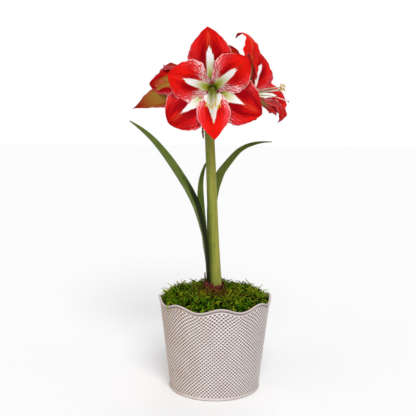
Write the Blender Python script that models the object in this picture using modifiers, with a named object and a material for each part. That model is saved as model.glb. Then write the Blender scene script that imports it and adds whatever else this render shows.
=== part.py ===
"""A potted amaryllis: four blooms on one stalk, strap leaves, a bulb in soil and moss, and a dimpled metal pot.

Metres, +Z up. The origin is the middle of the pot's flat base, and the viewer stands on the -Y side.
Places and sizes in the lists below are in millimetres.
"""
import math

import bpy
import bmesh
import numpy as np
from mathutils import Matrix, Vector, noise

MM = 0.001
TURN = 2 * math.pi

# The clearance kept between pieces that touch, and wider where a round filling meets the pot's flats
GAP = 0.3
WALL_GAP = 0.5

# The pot: 180 mm over its rolled rim, which runs in scallops
POT_BASE_R = 71.3
POT_RIM_R = 88.2
POT_RIM_Z = 145.7
POT_WALL = 1.2
POT_SEGMENTS = 56
RIM_BEAD_R = 1.7
SEAM_BEAD = 1.0
SCALLOPS = 8
SCALLOP_RISE = 3.8
SCALLOP_TURN = math.radians(6)
SCALLOP_LOW_Z = 85
SCALLOP_MIDDLE_Z = 118
PLAIN_BAND_Z = 138
DIMPLE_DEPTH = 0.35
DIMPLE_ROWS = 11
DIMPLE_LOW_Z = 12
DIMPLE_HIGH_Z = 132

# Soil and moss
SOIL_TOP_Z = 128
SOIL_SEGMENTS = 32
MOSS_EDGE_Z = 139
MOSS_DOME = 15
MOSS_LUMP = 5.6
MOSS_LUMP_SIZE = 17
MOSS_RINGS = 8
MOSS_SEGMENTS = 40

# The bulb: its neck is a papery collar round a pocket that holds the stalk and the leaves
BULB_X = -1.0
BULB_SEGMENTS = 20
NECK_R = 15.5
NECK_TOP_Z = 161
POCKET_R = 13.8
POCKET_Z = 139
PLATE_Z = 50
BULB_SIDE = ((NECK_R, NECK_TOP_Z), (15.2, 155), (15.2, 128), (17.5, 122.5), (24.5, 115), (32.5, 104), (36.8, 91),
             (36.8, 78), (32.5, 65), (24.0, 56), (14.5, 53), (13.5, PLATE_Z), (0, PLATE_Z))
ROOT_COUNT = 7
ROOT_R = 2.1

# A torn strip of dry skin that stands up at the left of the neck
STRIP_TURN = math.radians(183)
STRIP_HALF_ANGLE = 0.16
STRIP_TAPER = 0.81
STRIP_FOOT_Z = 157
STRIP_LENGTH = 21
STRIP_THICKNESS = 0.9

# The stalk: places on its middle line from the pocket to the umbel, and its radius at each
SCAPE_LINE = ((2.6, 0, 139.6), (1.6, 0, 168), (-3.2, 0, 246), (-7.2, 0, 337), (-10.0, 0, 398), (-10.5, 0, 424))
SCAPE_RADII = (9.2, 9.2, 8.4, 7.8, 7.4, 8.4)
UMBEL_R = 8.8
UMBEL_SQUASH = 0.55
PEDICEL_REACH = 30
PEDICEL_RADII = (3.4, 3.2, 3.0, 3.2, 4.7, 4.6)
OVARY_LENGTH = 15

# Petals and the short tube that joins them
PETAL_THICKNESS = 0.8
PETAL_ROWS = 8
PETAL_COLUMNS = 4
PETAL_CLAW = 5
PETAL_START = 0.06
RING_SHARE = 1.05
RUFFLE = 1.8
RUFFLE_WAVES = 3.5
TUBE_FOOT_R = 6.4
TUBE_TOP_R = 7.8
TUBE_DEPTH = 12

# Stamens and style: across, up and out from the bloom's foot, with the tips fanned across; the
# anther is the wide stretch at the end of each filament, and lies along the second direction
STAMEN_FOOT_R = 2.8
STAMEN_RING_R = 1.9
STAMEN_LINE = ((0, 0, 12.8), (0.2, -4, 32), (0.6, -13, 54), (1.0, -23.5, 78), (1.05, -24.5, 80.5),
               (1.05, -21, 81.5), (1.05, -17, 81))
STAMEN_RADII = (0.8, 0.8, 0.8, 0.8, 1.3, 1.5, 0.9)
STAMEN_FAN = (-10, -6, -2, 2, 6, 9)
STAMEN_STARTS = (150, 210, 270, 90, 330, 30)
STYLE_LINE = ((0, 0, 12.8), (0.6, -9, 32), (1.8, -25, 56), (2.5, -47, 76))
STYLE_RADII = (0.9, 0.9, 0.9, 1.6)

# Outer petals sit behind inner ones: the curl across the blade from foot to tip in 1/m, the
# distance of the foot from the bloom's axis, and the shift towards the throat
OUTER = dict(cup=(190, 70, 18, 2, -5, -8, 0), foot=5.5, inward=-1.0)
INNER = dict(cup=(220, 75, 20, 4, -5, -7, 0), foot=4.2, inward=2.0)
FOLDED = dict(cup=(190, 70, 40, 30, 25, 20, 20), foot=5.5, inward=-1.0)

# Each petal: whorl, azimuth about the bloom's axis (90 is up), length and width, lean of its middle
# and of its tip from the axis in degrees, where it is widest, how pointed it is, and sideways sweep
BLOOMS = {
    "front": dict(foot=(-6.2, -22.0, 475.9), faces=(0, -1, 0), leaves_umbel=(0, 0, 1), petals=(
        (OUTER, 95, 110, 64, 64, 135, 0.56, 1.05, 0),
        (OUTER, 218, 103, 67, 56, 118, 0.64, 0.72, 0),
        (OUTER, 338, 102, 70, 56, 92, 0.58, 0.80, -6),
        (INNER, 162, 92, 64, 50, 84, 0.60, 0.75, 0),
        (INNER, 40, 92, 59, 50, 84, 0.62, 0.70, 0),
        (INNER, 273, 98, 50, 54, 76, 0.55, 0.95, 0))),
    "right": dict(foot=(28.0, 25.0, 458.1), faces=(0.776, -0.349, 0.525), leaves_umbel=(0.2, 0.6, 0.8), petals=(
        (OUTER, 84, 138, 54, 50, 212, 0.52, 0.95, 0),
        (OUTER, 225, 106, 59, 51, 89, 0.62, 0.85, 0),
        (OUTER, 336, 96, 72, 52, 104, 0.62, 0.85, 0),
        (INNER, 155, 105, 58, 42, 77, 0.60, 0.75, 0),
        (INNER, 41, 106, 72, 53, 118, 0.60, 0.75, 0),
        (INNER, 268, 103, 50, 42, 185, 0.60, 0.85, 0))),
    "left": dict(foot=(-26.6, 28.0, 504.6), faces=(-0.502, 0.710, -0.494), leaves_umbel=(-0.2, 0.1, 1), petals=(
        (OUTER, 91, 90, 61, 37, 70, 0.62, 0.85, 0),
        (FOLDED, 349, 126, 48, 44, 56, 0.46, 1.35, 0),
        (OUTER, 210, 98, 60, 37, 85, 0.62, 0.85, 0),
        (INNER, 21, 90, 58, 40, 48, 0.60, 0.75, 0),
        (INNER, 149, 95, 57, 43, 80, 0.60, 0.75, 0),
        (INNER, 273, 94, 58, 42, 60, 0.60, 0.75, 0))),
    "back": dict(foot=(-2.6, 56.1, 463.2), faces=(0.549, 0.807, 0.218), leaves_umbel=(-0.3, 0.9, 0.6), petals=(
        (OUTER, 94, 98, 63, 53, 115, 0.62, 0.85, 0),
        (OUTER, 232, 86, 58, 48, 80, 0.62, 0.85, 0),
        (OUTER, 351, 90, 58, 41, 70, 0.62, 0.85, 0),
        (INNER, 170, 92, 54, 45, 67, 0.60, 0.75, 0),
        (INNER, 49, 91, 54, 42, 70, 0.60, 0.75, 0),
        (INNER, 292, 91, 52, 46, 68, 0.60, 0.75, 0))),
}

# Blades: places along the middle line, half widths, the channel across the blade in 1/m, and the turn
# of the blade about its middle line in degrees, each from foot to tip; side is where it arches, 1 left
BLADES = {
    "leaf_left": dict(
        line=((-11.6, -3.4, 139.7), (-12.4, -4.4, 168), (-14, -6.5, 204), (-17.3, -8, 235), (-22, -9, 259),
              (-30.1, -9.5, 290), (-39.5, -10, 312), (-50.5, -10, 332.5), (-72.2, -12, 366), (-95.9, -15, 396.5),
              (-114, -18, 414), (-132.6, -20, 427.2)),
        half_width=(4.6, 5.6, 7.6, 9.5, 11, 11.5, 11, 9.5, 7.5, 4.5, 0.8),
        channel=(85, 80, 60, 50, 45, 40, 40, 40, 40, 40, 40), turn=(15, 20, 25, 35, 42, 45, 45, 45), side=1),
    "leaf_inner": dict(
        line=((-9, 6.2, 139.7), (-10.2, 6.8, 168), (-13.2, 7.2, 204), (-16.5, 7.4, 230), (-18.6, 7.4, 257),
              (-21.6, 7.6, 280), (-23.6, 8, 299), (-24.2, 8.4, 318), (-23.2, 9, 334), (-20.5, 9.8, 347.5),
              (-15.9, 12.5, 359.9), (-9.6, 16, 366.4)),
        half_width=(2.8, 3.2, 4, 4.8, 5.2, 5.6, 5.2, 4.2, 3, 1.6, 0.7),
        channel=(85, 80, 60, 50, 45, 40, 40, 40), turn=(-38, -42, -55, -65, -75, -75, -70, -60), side=1),
    "leaf_right": dict(
        line=((-2, 11.4, 139.7), (-3, 12.4, 168), (-5, 14, 201), (-5.5, 15, 237), (-6, 15.2, 270),
              (-5.5, 15.4, 297), (-2, 16.4, 319), (4, 18.5, 336), (11.5, 22, 350), (31.8, 29, 374.5),
              (45.4, 33, 384.6), (60.8, 38, 390.3), (75.5, 44, 392.5), (90.5, 50, 392.5)),
        half_width=(4.4, 5.4, 7.2, 8, 8, 8, 7.6, 7, 5.6, 3.6, 0.8),
        channel=(75, 70, 55, 45, 40, 40, 40, 40), turn=(-105, -100, -92, -90, -85, -70, -60, -55, -50), side=-1),
    "spathe_left": dict(
        line=((-20.3, -2.5, 426), (-21.6, -3.5, 418), (-21, -4.5, 408), (-19.8, -5, 399.5)),
        half_width=(4, 3.6, 2.6, 0.8), channel=(110, 90, 90, 60), turn=(0, -30, -50), side=-1),
    "spathe_back": dict(
        line=((-10.4, 9.3, 421), (-10.2, 10.6, 411), (-10.2, 11.4, 398), (-10.6, 11, 384)),
        half_width=(4.5, 4, 3, 0.8), channel=(110, 90, 90, 60), turn=(-90, -90, -90), side=1),
}
LEAF_THICKNESS = 1.2
LEAF_ROWS = 20
LEAF_COLUMNS = 4
BRACT_THICKNESS = 0.8
BRACT_ROWS = 5
BRACT_COLUMNS = 3

# Colour, roughness and metallic value
COLOURS = {
    "pot": ((0.62, 0.57, 0.56), 0.55, 0.3),
    "soil": ((0.06, 0.04, 0.025), 0.95, 0),
    "moss": ((0.16, 0.25, 0.03), 0.95, 0),
    "bulb": ((0.20, 0.06, 0.05), 0.7, 0),
    "stalk": ((0.27, 0.30, 0.08), 0.45, 0),
    "petal": ((0.62, 0.01, 0.01), 0.4, 0),
    "stamen": ((0.80, 0.62, 0.12), 0.6, 0),
    "leaf": ((0.13, 0.19, 0.05), 0.45, 0),
    "bract": ((0.33, 0.15, 0.06), 0.75, 0),
}


def remove(obj):
    bpy.data.objects.remove(obj, do_unlink=True)


def new_collection(name):
    collection = bpy.data.collections.new(name)
    bpy.context.scene.collection.children.link(collection)
    return collection


def material(name):
    colour, roughness, metallic = COLOURS[name]
    found = bpy.data.materials.get(name) or bpy.data.materials.new(name)
    found.use_nodes = True
    found.diffuse_color = (*colour, 1)
    shader = found.node_tree.nodes["Principled BSDF"]
    shader.inputs["Base Color"].default_value = (*colour, 1)
    shader.inputs["Roughness"].default_value = roughness
    shader.inputs["Metallic"].default_value = metallic
    return found


def add_object(name, data, collection):
    obj = bpy.data.objects.new(name, data)
    collection.objects.link(obj)
    return obj


def from_bmesh(name, bm, collection):
    mesh = bpy.data.meshes.new(name)
    bm.to_mesh(mesh)
    bm.free()
    return add_object(name, mesh, collection)


def applied(obj, weld=0.01):
    """The object with its modifiers applied, or a curve made a mesh with its caps welded on."""
    bpy.context.view_layer.update()
    evaluated = obj.evaluated_get(bpy.context.evaluated_depsgraph_get())
    mesh = bpy.data.meshes.new_from_object(evaluated)
    bm = bmesh.new()
    bm.from_mesh(mesh)
    bmesh.ops.remove_doubles(bm, verts=bm.verts, dist=weld * MM)
    bmesh.ops.recalc_face_normals(bm, faces=bm.faces)
    bm.to_mesh(mesh)
    bm.free()
    plain = add_object(obj.name, mesh, obj.users_collection[0])
    plain.matrix_world = obj.matrix_world
    name = obj.name
    remove(obj)
    plain.name = name
    return plain


def boolean(obj, others, operation, solver="MANIFOLD"):
    """Join or cut obj with every object in others, and remove those."""
    group = new_collection("tools")
    for other in others:
        group.objects.link(other)
    modifier = obj.modifiers.new(operation, "BOOLEAN")
    modifier.operation = operation
    modifier.solver = solver
    modifier.operand_type = "COLLECTION"
    modifier.collection = group
    result = applied(obj, weld=0.0001)
    for other in others:
        remove(other)
    bpy.data.collections.remove(group)
    return result


def finish(obj, name, colour, smooth=40):
    obj.name = name
    obj.data.materials.clear()
    obj.data.materials.append(material(colour))
    obj.data.shade_smooth()
    obj.data.set_sharp_from_angle(angle=math.radians(smooth))


def turned(name, profile, segments, collection, closed=False, x=0.0):
    """A profile of (radius, height) turned about an upright axis at x."""
    bm = bmesh.new()
    corners = [bm.verts.new((r * MM, 0, z * MM)) for r, z in profile]
    for first, second in zip(corners, corners[1:] + corners[:1] if closed else corners[1:]):
        bm.edges.new((first, second))
    obj = from_bmesh(name, bm, collection)
    screw = obj.modifiers.new("Turn", "SCREW")
    screw.steps = screw.render_steps = segments
    screw.use_merge_vertices = True
    screw.merge_threshold = 0.01 * MM
    obj.location.x = x * MM
    return applied(obj)


def tube(name, line, radii, collection, detail=2):
    """A round tube along a line of places, with a radius at each of them."""
    curve = bpy.data.curves.new(name, "CURVE")
    curve.dimensions = "3D"
    curve.bevel_depth = MM
    curve.bevel_resolution = detail
    curve.use_fill_caps = True
    spline = curve.splines.new("POLY")
    spline.points.add(len(line) - 1)
    for point, place, radius in zip(spline.points, line, radii):
        point.co = (*(Vector(place) * MM), 1)
        point.radius = radius
    return applied(add_object(name, curve, collection))


def between(share, values):
    """Smooth values at shares from 0 to 1 of the way along an evenly spaced list."""
    values = np.asarray(values, float)
    last = len(values) - 1
    spot = np.clip(share, 0, 1) * last
    left = np.minimum(spot.astype(int), last - 1)
    part = (spot - left).reshape(spot.shape + (1,) * (values.ndim - 1))
    before, here = values[np.maximum(left - 1, 0)], values[left]
    there, after = values[left + 1], values[np.minimum(left + 2, last)]
    return 0.5 * (2 * here + (there - before) * part + (2 * before - 5 * here + 4 * there - after) * part ** 2
                  + (3 * here - before - 3 * there + after) * part ** 3)


def sampled(line, count):
    return between(np.linspace(0, 1, count), line)


def blade(name, shape, rows, columns, thickness, collection):
    """A thin blade: a grid laid over shape(along 0..1, across -1..1), in triangles alike on both faces."""
    bm = bmesh.new()
    bmesh.ops.create_grid(bm, x_segments=rows, y_segments=columns, size=1)
    spots = np.array([vert.co for vert in bm.verts])
    for vert, place in zip(bm.verts, shape((spots[:, 0] + 1) / 2, spots[:, 1])):
        vert.co = place * MM
    bmesh.ops.remove_doubles(bm, verts=bm.verts, dist=0.05 * MM)
    bmesh.ops.triangulate(bm, faces=bm.faces, quad_method="FIXED")
    obj = from_bmesh(name, bm, collection)
    shell = obj.modifiers.new("Thickness", "SOLIDIFY")
    shell.thickness = thickness * MM
    shell.offset = 0
    return applied(obj)


def curl(across, rate):
    """Sideways place and rise of a blade curled across its width at a rate in 1/m."""
    rate = np.where(np.abs(rate) < 0.01, 0.01, rate) * MM
    return np.sin(rate * across) / rate, (1 - np.cos(rate * across)) / rate


def petal_shape(whorl, azimuth, length, width, lean, tip_lean, widest, point, sweep):
    """A petal in its bloom's own frame, whose third axis runs out of the throat."""
    bend = tip_lean - lean
    leans = np.radians([4, 0.5 * lean, 0.87 * lean, lean, lean + 0.11 * bend, lean + 0.46 * bend, tip_lean])
    fine = np.linspace(0, 1, 401)
    angle = between(fine, leans)
    step = length / 400
    out = whorl["foot"] + np.concatenate([[0], np.cumsum(np.sin((angle[1:] + angle[:-1]) / 2) * step)])
    forward = np.concatenate([[0], np.cumsum(np.cos((angle[1:] + angle[:-1]) / 2) * step)])
    turn = math.radians(azimuth)

    def shape(along, across):
        along = PETAL_START + (1 - PETAL_START) * along
        lean_here = np.interp(along, fine, angle)
        swell = np.sin(np.pi * along ** (math.log(0.5) / math.log(widest)))
        half = np.hypot(width / 2 * np.maximum(swell, 0) ** point, PETAL_CLAW * (1 - along))
        half = np.minimum(half, RING_SHARE * np.interp(along, fine, out))
        side, rise = curl(across * half, between(along, whorl["cup"]))
        edge = np.abs(across) ** 2.2 * np.clip(3 * along, 0, 1) * np.clip(6 * (1 - along), 0, 1)
        wave = np.sin(TURN * RUFFLE_WAVES * along + np.where(across > 0, 0.0, 1.9) + turn * 3)
        rise = rise + whorl["inward"] + RUFFLE * edge * wave
        radius = np.interp(along, fine, out) - rise * np.cos(lean_here)
        side = side + sweep * along ** 2
        return np.stack([radius * math.cos(turn) - side * math.sin(turn),
                         radius * math.sin(turn) + side * math.cos(turn),
                         np.interp(along, fine, forward) + rise * np.sin(lean_here)], axis=-1)
    return shape


def bloom_frame(bloom):
    """Places a bloom: x across, y up and z out of its throat, in metres."""
    out = Vector(bloom["faces"]).normalized()
    across = Vector((0, 0, 1)).cross(out).normalized()
    frame = Matrix((across, out.cross(across), out)).transposed().to_4x4()
    return Matrix.Translation(Vector(bloom["foot"]) * MM) @ frame


def make_pot(collection):
    slope = (POT_RIM_R - POT_BASE_R) / POT_RIM_Z

    def outer(z):
        return POT_BASE_R + slope * z

    inner_floor = (POT_BASE_R - POT_WALL, POT_WALL)
    throat_z = POT_RIM_Z - RIM_BEAD_R
    bead = [(POT_RIM_R + RIM_BEAD_R * math.cos(a), POT_RIM_Z + RIM_BEAD_R * math.sin(a))
            for a in np.linspace(math.radians(200), math.radians(-70), 7)]
    rows = [(outer(z), z) for z in np.linspace(DIMPLE_HIGH_Z, DIMPLE_LOW_Z, DIMPLE_ROWS)]
    seam = [(outer(6), 6), (outer(4) + SEAM_BEAD, 4), (outer(2) + SEAM_BEAD, 2), (POT_BASE_R, 0)]
    profile = [(0, POT_WALL), inner_floor, (outer(SCALLOP_LOW_Z) - POT_WALL, SCALLOP_LOW_Z),
               (outer(SCALLOP_MIDDLE_Z) - POT_WALL, SCALLOP_MIDDLE_Z), (outer(throat_z) - POT_WALL, throat_z - 1.5)]
    profile += bead + [(outer(PLAIN_BAND_Z), PLAIN_BAND_Z)] + rows + seam + [(0, 0)]
    pot = turned("pot", profile, POT_SEGMENTS, collection)

    pitch = (DIMPLE_HIGH_Z - DIMPLE_LOW_Z) / (DIMPLE_ROWS - 1)
    for vert in pot.data.vertices:
        x, y, z = (value / MM for value in vert.co)
        radius = math.hypot(x, y)
        turn = math.atan2(x, -y)
        on_wall = DIMPLE_LOW_Z - 1 < z < DIMPLE_HIGH_Z + 1 and radius > outer(z) - POT_WALL / 2
        if on_wall:
            row = round((z - DIMPLE_LOW_Z) / pitch)
            column = round(turn / TURN * POT_SEGMENTS)
            radius += DIMPLE_DEPTH * (-1) ** (row + column)
        if z > SCALLOP_LOW_Z:
            share = min((z - SCALLOP_LOW_Z) / (POT_RIM_Z - SCALLOP_LOW_Z), 1)
            rise = SCALLOP_RISE * share * share * (3 - 2 * share) * math.cos(SCALLOPS * (turn - SCALLOP_TURN))
            z += rise
            radius += slope * rise
        vert.co = Vector((radius * math.sin(turn), -radius * math.cos(turn), z)) * MM
    finish(pot, "pot", "pot", smooth=60)


def grown(profile, amount):
    """A profile moved outward by amount, across its own direction; its end on the axis stays there."""
    moved = []
    for i, (r, z) in enumerate(profile):
        before = profile[max(i - 1, 0)]
        after = profile[min(i + 1, len(profile) - 1)]
        dr, dz = after[0] - before[0], after[1] - before[1]
        size = math.hypot(dr, dz)
        moved.append((max(r - dz / size * amount, 0) if r else 0, z + dr / size * amount))
    return moved


def root_lines():
    for i in range(ROOT_COUNT):
        turn = TURN * (i + 0.3 * math.sin(5 * i)) / ROOT_COUNT
        reach = 34 + 7 * math.sin(3 * i + 1)
        drop = 34 + 6 * math.cos(2 * i)
        swirl = 0.25 * math.sin(4 * i)
        line = []
        for share in (0, 0.25, 0.55, 0.8, 1):
            radius = 9 + reach * share ** 1.2
            angle = turn + swirl * share
            line.append((BULB_X + radius * math.cos(angle), radius * math.sin(angle), PLATE_Z + 2 - drop * share))
        yield line


def make_bulb(collection):
    pocket = [(0, POCKET_Z), (POCKET_R, POCKET_Z), (POCKET_R, NECK_TOP_Z)]
    bulb = turned("bulb", pocket + list(BULB_SIDE), BULB_SEGMENTS, collection, x=BULB_X)
    for vert in bulb.data.vertices:
        if vert.co.z > (NECK_TOP_Z - 0.5) * MM:
            turn = math.atan2(vert.co.y, vert.co.x)
            vert.co.z += (0.7 * math.sin(5 * turn) + 0.5 * math.sin(8 * turn + 1)) * MM
    roots = [tube("root", line, np.linspace(ROOT_R, 0.5 * ROOT_R, 5), collection, detail=1) for line in root_lines()]

    def torn_strip(along, across):
        turn = STRIP_TURN + STRIP_HALF_ANGLE * (1 - STRIP_TAPER * along) * across
        radius = (NECK_R + POCKET_R) / 2 + 0.5 * along
        return np.stack([BULB_X + radius * np.cos(turn), radius * np.sin(turn), STRIP_FOOT_Z + STRIP_LENGTH * along], -1)

    strip = blade("strip", torn_strip, 4, 2, STRIP_THICKNESS, collection)
    finish(boolean(bulb, roots + [strip], "UNION"), "bulb", "bulb")


def make_soil(collection):
    inner_foot = POT_BASE_R - POT_WALL - WALL_GAP
    slope = (POT_RIM_R - POT_BASE_R) / POT_RIM_Z
    floor = POT_WALL + GAP
    profile = [(0, SOIL_TOP_Z), (inner_foot + slope * SOIL_TOP_Z, SOIL_TOP_Z), (inner_foot, floor), (0, floor)]
    soil = turned("potting_mix", profile, SOIL_SEGMENTS, collection)
    room = [(0, NECK_TOP_Z)] + grown(BULB_SIDE, 2 * GAP)
    cutters = [turned("bulb_room", room, BULB_SEGMENTS, collection, x=BULB_X)]
    for line in root_lines():
        tip = Vector(line[-1]) + (Vector(line[-1]) - Vector(line[-2])).normalized() * 1.5
        radii = np.linspace(ROOT_R, 0.5 * ROOT_R, 5) + 2 * GAP
        cutters.append(tube("root_room", line[:-1] + [tuple(tip)], radii, collection, detail=1))
    finish(boolean(soil, cutters, "DIFFERENCE"), "potting_mix", "soil")


def make_moss(collection):
    slope = (POT_RIM_R - POT_BASE_R) / POT_RIM_Z
    floor = SOIL_TOP_Z + GAP
    wall = POT_BASE_R - POT_WALL - WALL_GAP
    hole = NECK_R + WALL_GAP
    rim = wall + slope * MOSS_EDGE_Z
    top = [(r, MOSS_EDGE_Z + MOSS_DOME * (1 - ((r - hole) / (rim - hole)) ** 1.6))
           for r in np.linspace(hole, rim, MOSS_RINGS + 1)]
    profile = top + [(wall + slope * floor, floor), (hole, floor)]
    moss = turned("moss", profile, MOSS_SEGMENTS, collection, closed=True)
    for vert in moss.data.vertices:
        radius = math.hypot(vert.co.x, vert.co.y) / MM
        if vert.co.z < (MOSS_EDGE_Z - 1) * MM or radius < hole + 1:
            continue
        spot = Vector((vert.co.x, vert.co.y, 0)) / (MOSS_LUMP_SIZE * MM)
        lump = noise.noise(spot) + 0.6 * noise.noise(spot * 2.3 + Vector((7, 3, 1)))
        fade = min((rim - radius) / 12 + 0.35, 1)
        vert.co.z += MOSS_LUMP * lump * fade * MM
    for vert in moss.data.vertices:
        radius = math.hypot(vert.co.x, vert.co.y) / MM
        vert.co.x += BULB_X * MM * min(max((rim - radius) / (rim - hole), 0), 1)
    finish(moss, "moss", "moss", smooth=80)


def make_scape(collection):
    stalk = tube("scape", sampled(SCAPE_LINE, 10), between(np.linspace(0, 1, 10), SCAPE_RADII), collection, detail=4)
    top = Vector(SCAPE_LINE[-1])
    bm = bmesh.new()
    spot = Matrix.Translation(top * MM) @ Matrix.Diagonal((1, 1, UMBEL_SQUASH, 1))
    bmesh.ops.create_uvsphere(bm, u_segments=12, v_segments=6, radius=UMBEL_R * MM, matrix=spot)
    pieces = [from_bmesh("umbel", bm, collection)]
    for bloom in BLOOMS.values():
        out = Vector(bloom["faces"]).normalized()
        foot = Vector(bloom["foot"]) - out * GAP
        neck = foot - out * OVARY_LENGTH
        start = top - Vector((0, 0, 2))
        leave = start + Vector(bloom["leaves_umbel"]).normalized() * PEDICEL_REACH
        arrive = neck - out * 0.6 * PEDICEL_REACH
        line = [start * (1 - s) ** 3 + 3 * leave * s * (1 - s) ** 2 + 3 * arrive * s * s * (1 - s) + neck * s ** 3
                for s in np.linspace(0, 1, 7)]
        radii = list(between(np.linspace(0, 1, 7), PEDICEL_RADII[:4])) + [PEDICEL_RADII[4], PEDICEL_RADII[5]]
        line += [neck + out * OVARY_LENGTH * 0.45, foot]
        pieces.append(tube("pedicel", line, radii, collection))
    finish(boolean(stalk, pieces, "UNION"), "scape", "stalk")


def make_bloom(name, bloom, collection):
    bm = bmesh.new()
    middle = Matrix.Translation((0, 0, TUBE_DEPTH / 2 * MM))
    bmesh.ops.create_cone(bm, cap_ends=True, segments=12, radius1=TUBE_FOOT_R * MM, radius2=TUBE_TOP_R * MM,
                          depth=TUBE_DEPTH * MM, matrix=middle)
    base = from_bmesh("tube", bm, collection)
    petals = [blade("petal", petal_shape(*petal), PETAL_ROWS, PETAL_COLUMNS, PETAL_THICKNESS, collection)
              for petal in bloom["petals"]]
    whole = boolean(base, petals, "UNION")
    whole.data.transform(bloom_frame(bloom))
    finish(whole, "bloom_" + name, "petal", smooth=60)


def make_stamens(name, bloom, collection):
    bm = bmesh.new()
    spot = Matrix.Translation((0, 0, (TUBE_DEPTH + GAP + 0.6) * MM))
    bmesh.ops.create_cone(bm, cap_ends=True, segments=8, radius1=STAMEN_FOOT_R * MM, radius2=STAMEN_FOOT_R * MM,
                          depth=1.2 * MM, matrix=spot)
    foot = from_bmesh("foot", bm, collection)
    pieces = []
    for i, (fan, azimuth) in enumerate(zip(STAMEN_FAN, STAMEN_STARTS)):
        turn = math.radians(azimuth)
        start = Vector((math.cos(turn), math.sin(turn), 0)) * STAMEN_RING_R
        short = 1 - 0.05 * (i % 3)
        line = []
        for step, (across, up, out) in enumerate(STAMEN_LINE):
            line.append(Vector((across * fan, up, out * short if step > 1 else out)) + start * max(1 - step / 3, 0))
        pieces.append(tube("filament", line, STAMEN_RADII, collection, detail=0))
    pieces.append(tube("style", STYLE_LINE, STYLE_RADII, collection, detail=0))
    whole = boolean(foot, pieces, "UNION")
    whole.data.transform(bloom_frame(bloom))
    finish(whole, "stamens_" + name, "stamen")


def blade_shape(line, half_width, channel, turn, side):
    """A strap along a line, channelled across; its hollow side faces where the turn puts it."""
    fine = sampled(line, 200)
    ahead = np.gradient(fine, axis=0)
    ahead /= np.linalg.norm(ahead, axis=1)[:, None]
    share = np.linspace(0, 1, 200)

    def at(along, values):
        return np.stack([np.interp(along, share, values[:, i]) for i in range(3)], axis=-1)

    def shape(along, across):
        middle = at(along, fine)
        forward = at(along, ahead)
        hollow = side * np.stack([forward[:, 2], 0 * along, -forward[:, 0]], axis=-1)
        hollow /= np.linalg.norm(hollow, axis=1)[:, None]
        front = np.cross(forward, hollow)
        front *= np.where(front[:, 1] > 0, -1, 1)[:, None]
        front /= np.linalg.norm(front, axis=1)[:, None]
        angle = np.radians(between(along, turn))[:, None]
        width = np.cos(angle) * front + np.sin(angle) * hollow
        normal = np.cos(angle) * hollow - np.sin(angle) * front
        aside, rise = curl(across * between(along, half_width), between(along, channel))
        return middle + aside[:, None] * width + rise[:, None] * normal
    return shape


def make_blades(collection):
    for name, data in BLADES.items():
        shape = blade_shape(**data)
        if name.startswith("leaf"):
            finish(blade(name, shape, LEAF_ROWS, LEAF_COLUMNS, LEAF_THICKNESS, collection), name, "leaf")
        else:
            finish(blade(name, shape, BRACT_ROWS, BRACT_COLUMNS, BRACT_THICKNESS, collection), name, "bract")


def main():
    for obj in list(bpy.data.objects):
        remove(obj)
    parts = new_collection("amaryllis_in_a_pot")
    make_pot(parts)
    make_soil(parts)
    make_bulb(parts)
    make_moss(parts)
    make_scape(parts)
    for name, bloom in BLOOMS.items():
        make_bloom(name, bloom, parts)
        make_stamens(name, bloom, parts)
    make_blades(parts)


main()
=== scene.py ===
"""Dresses a potted amaryllis: petals, stamens, leaves, bulb, moss and pot in their finished surfaces.

Places and sizes are in millimetres where a name or comment says nothing else, and meshes are in metres.
"""

import math

import bmesh
import bpy
import numpy as np
from bpy.props import FloatProperty, FloatVectorProperty, IntProperty, PointerProperty
from mathutils import Matrix, Vector, noise


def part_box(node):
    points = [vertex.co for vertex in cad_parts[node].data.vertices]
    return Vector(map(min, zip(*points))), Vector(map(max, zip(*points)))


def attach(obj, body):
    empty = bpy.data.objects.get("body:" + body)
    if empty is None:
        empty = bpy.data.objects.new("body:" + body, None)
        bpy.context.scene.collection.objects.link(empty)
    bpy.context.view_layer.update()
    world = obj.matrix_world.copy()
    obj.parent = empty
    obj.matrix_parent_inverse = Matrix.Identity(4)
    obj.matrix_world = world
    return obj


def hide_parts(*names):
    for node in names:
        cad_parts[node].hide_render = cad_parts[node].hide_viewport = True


bl_info = {
    "name": "Potted Amaryllis",
    "version": (1, 0, 0),
    "blender": (4, 5, 0),
    "location": "View3D > Sidebar > Amaryllis",
    "description": "Makes the finished surfaces of a potted amaryllis on its packed frame",
    "category": "Object",
}

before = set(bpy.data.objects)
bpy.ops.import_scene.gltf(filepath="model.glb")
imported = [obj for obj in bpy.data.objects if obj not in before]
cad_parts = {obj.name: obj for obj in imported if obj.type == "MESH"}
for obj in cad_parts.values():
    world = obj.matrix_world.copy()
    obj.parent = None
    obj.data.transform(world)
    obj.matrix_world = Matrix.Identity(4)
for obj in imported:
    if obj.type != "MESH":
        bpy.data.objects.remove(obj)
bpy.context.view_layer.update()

MM = 0.001
TURN = 2 * math.pi

# The pot
POT_BASE_R = 71.3
POT_RIM_R = 88.2
POT_RIM_Z = 145.7
POT_WALL = 1.2
POT_SLOPE = (POT_RIM_R - POT_BASE_R) / POT_RIM_Z
POT_BEAD_R = 1.8
POT_INSIDE_Z = (142, 138, 132, 120, 105, 90, 40, 8, 3)
POT_FLOOR_R = 40
POT_SHARP_EDGE = math.radians(60)
SCALLOPS = 8
SCALLOP_TURN = math.radians(6)
SCALLOP_LOW_Z = 95
SCALLOP_RISE = 3.8
EMBOSSED_LOW_Z = 5.5
EMBOSSED_HIGH_Z = 140
# The groove under the rolled rim: heights, and how far the wall is sunk at each
POT_GROOVE = ((EMBOSSED_HIGH_Z, 0), (141.2, 0.1), (142.0, 0.7), (143.4, 0.8))
# The bead along the foot: where it starts, its middle, and how far it reaches out and up from there
FOOT_TOP_Z = 4.9
FOOT_BEAD_Z = 2.5
FOOT_BEAD_R = POT_BASE_R + 0.5
FOOT_BEAD_OUT = 1.3
FOOT_BEAD_UP = 1.7
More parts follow.
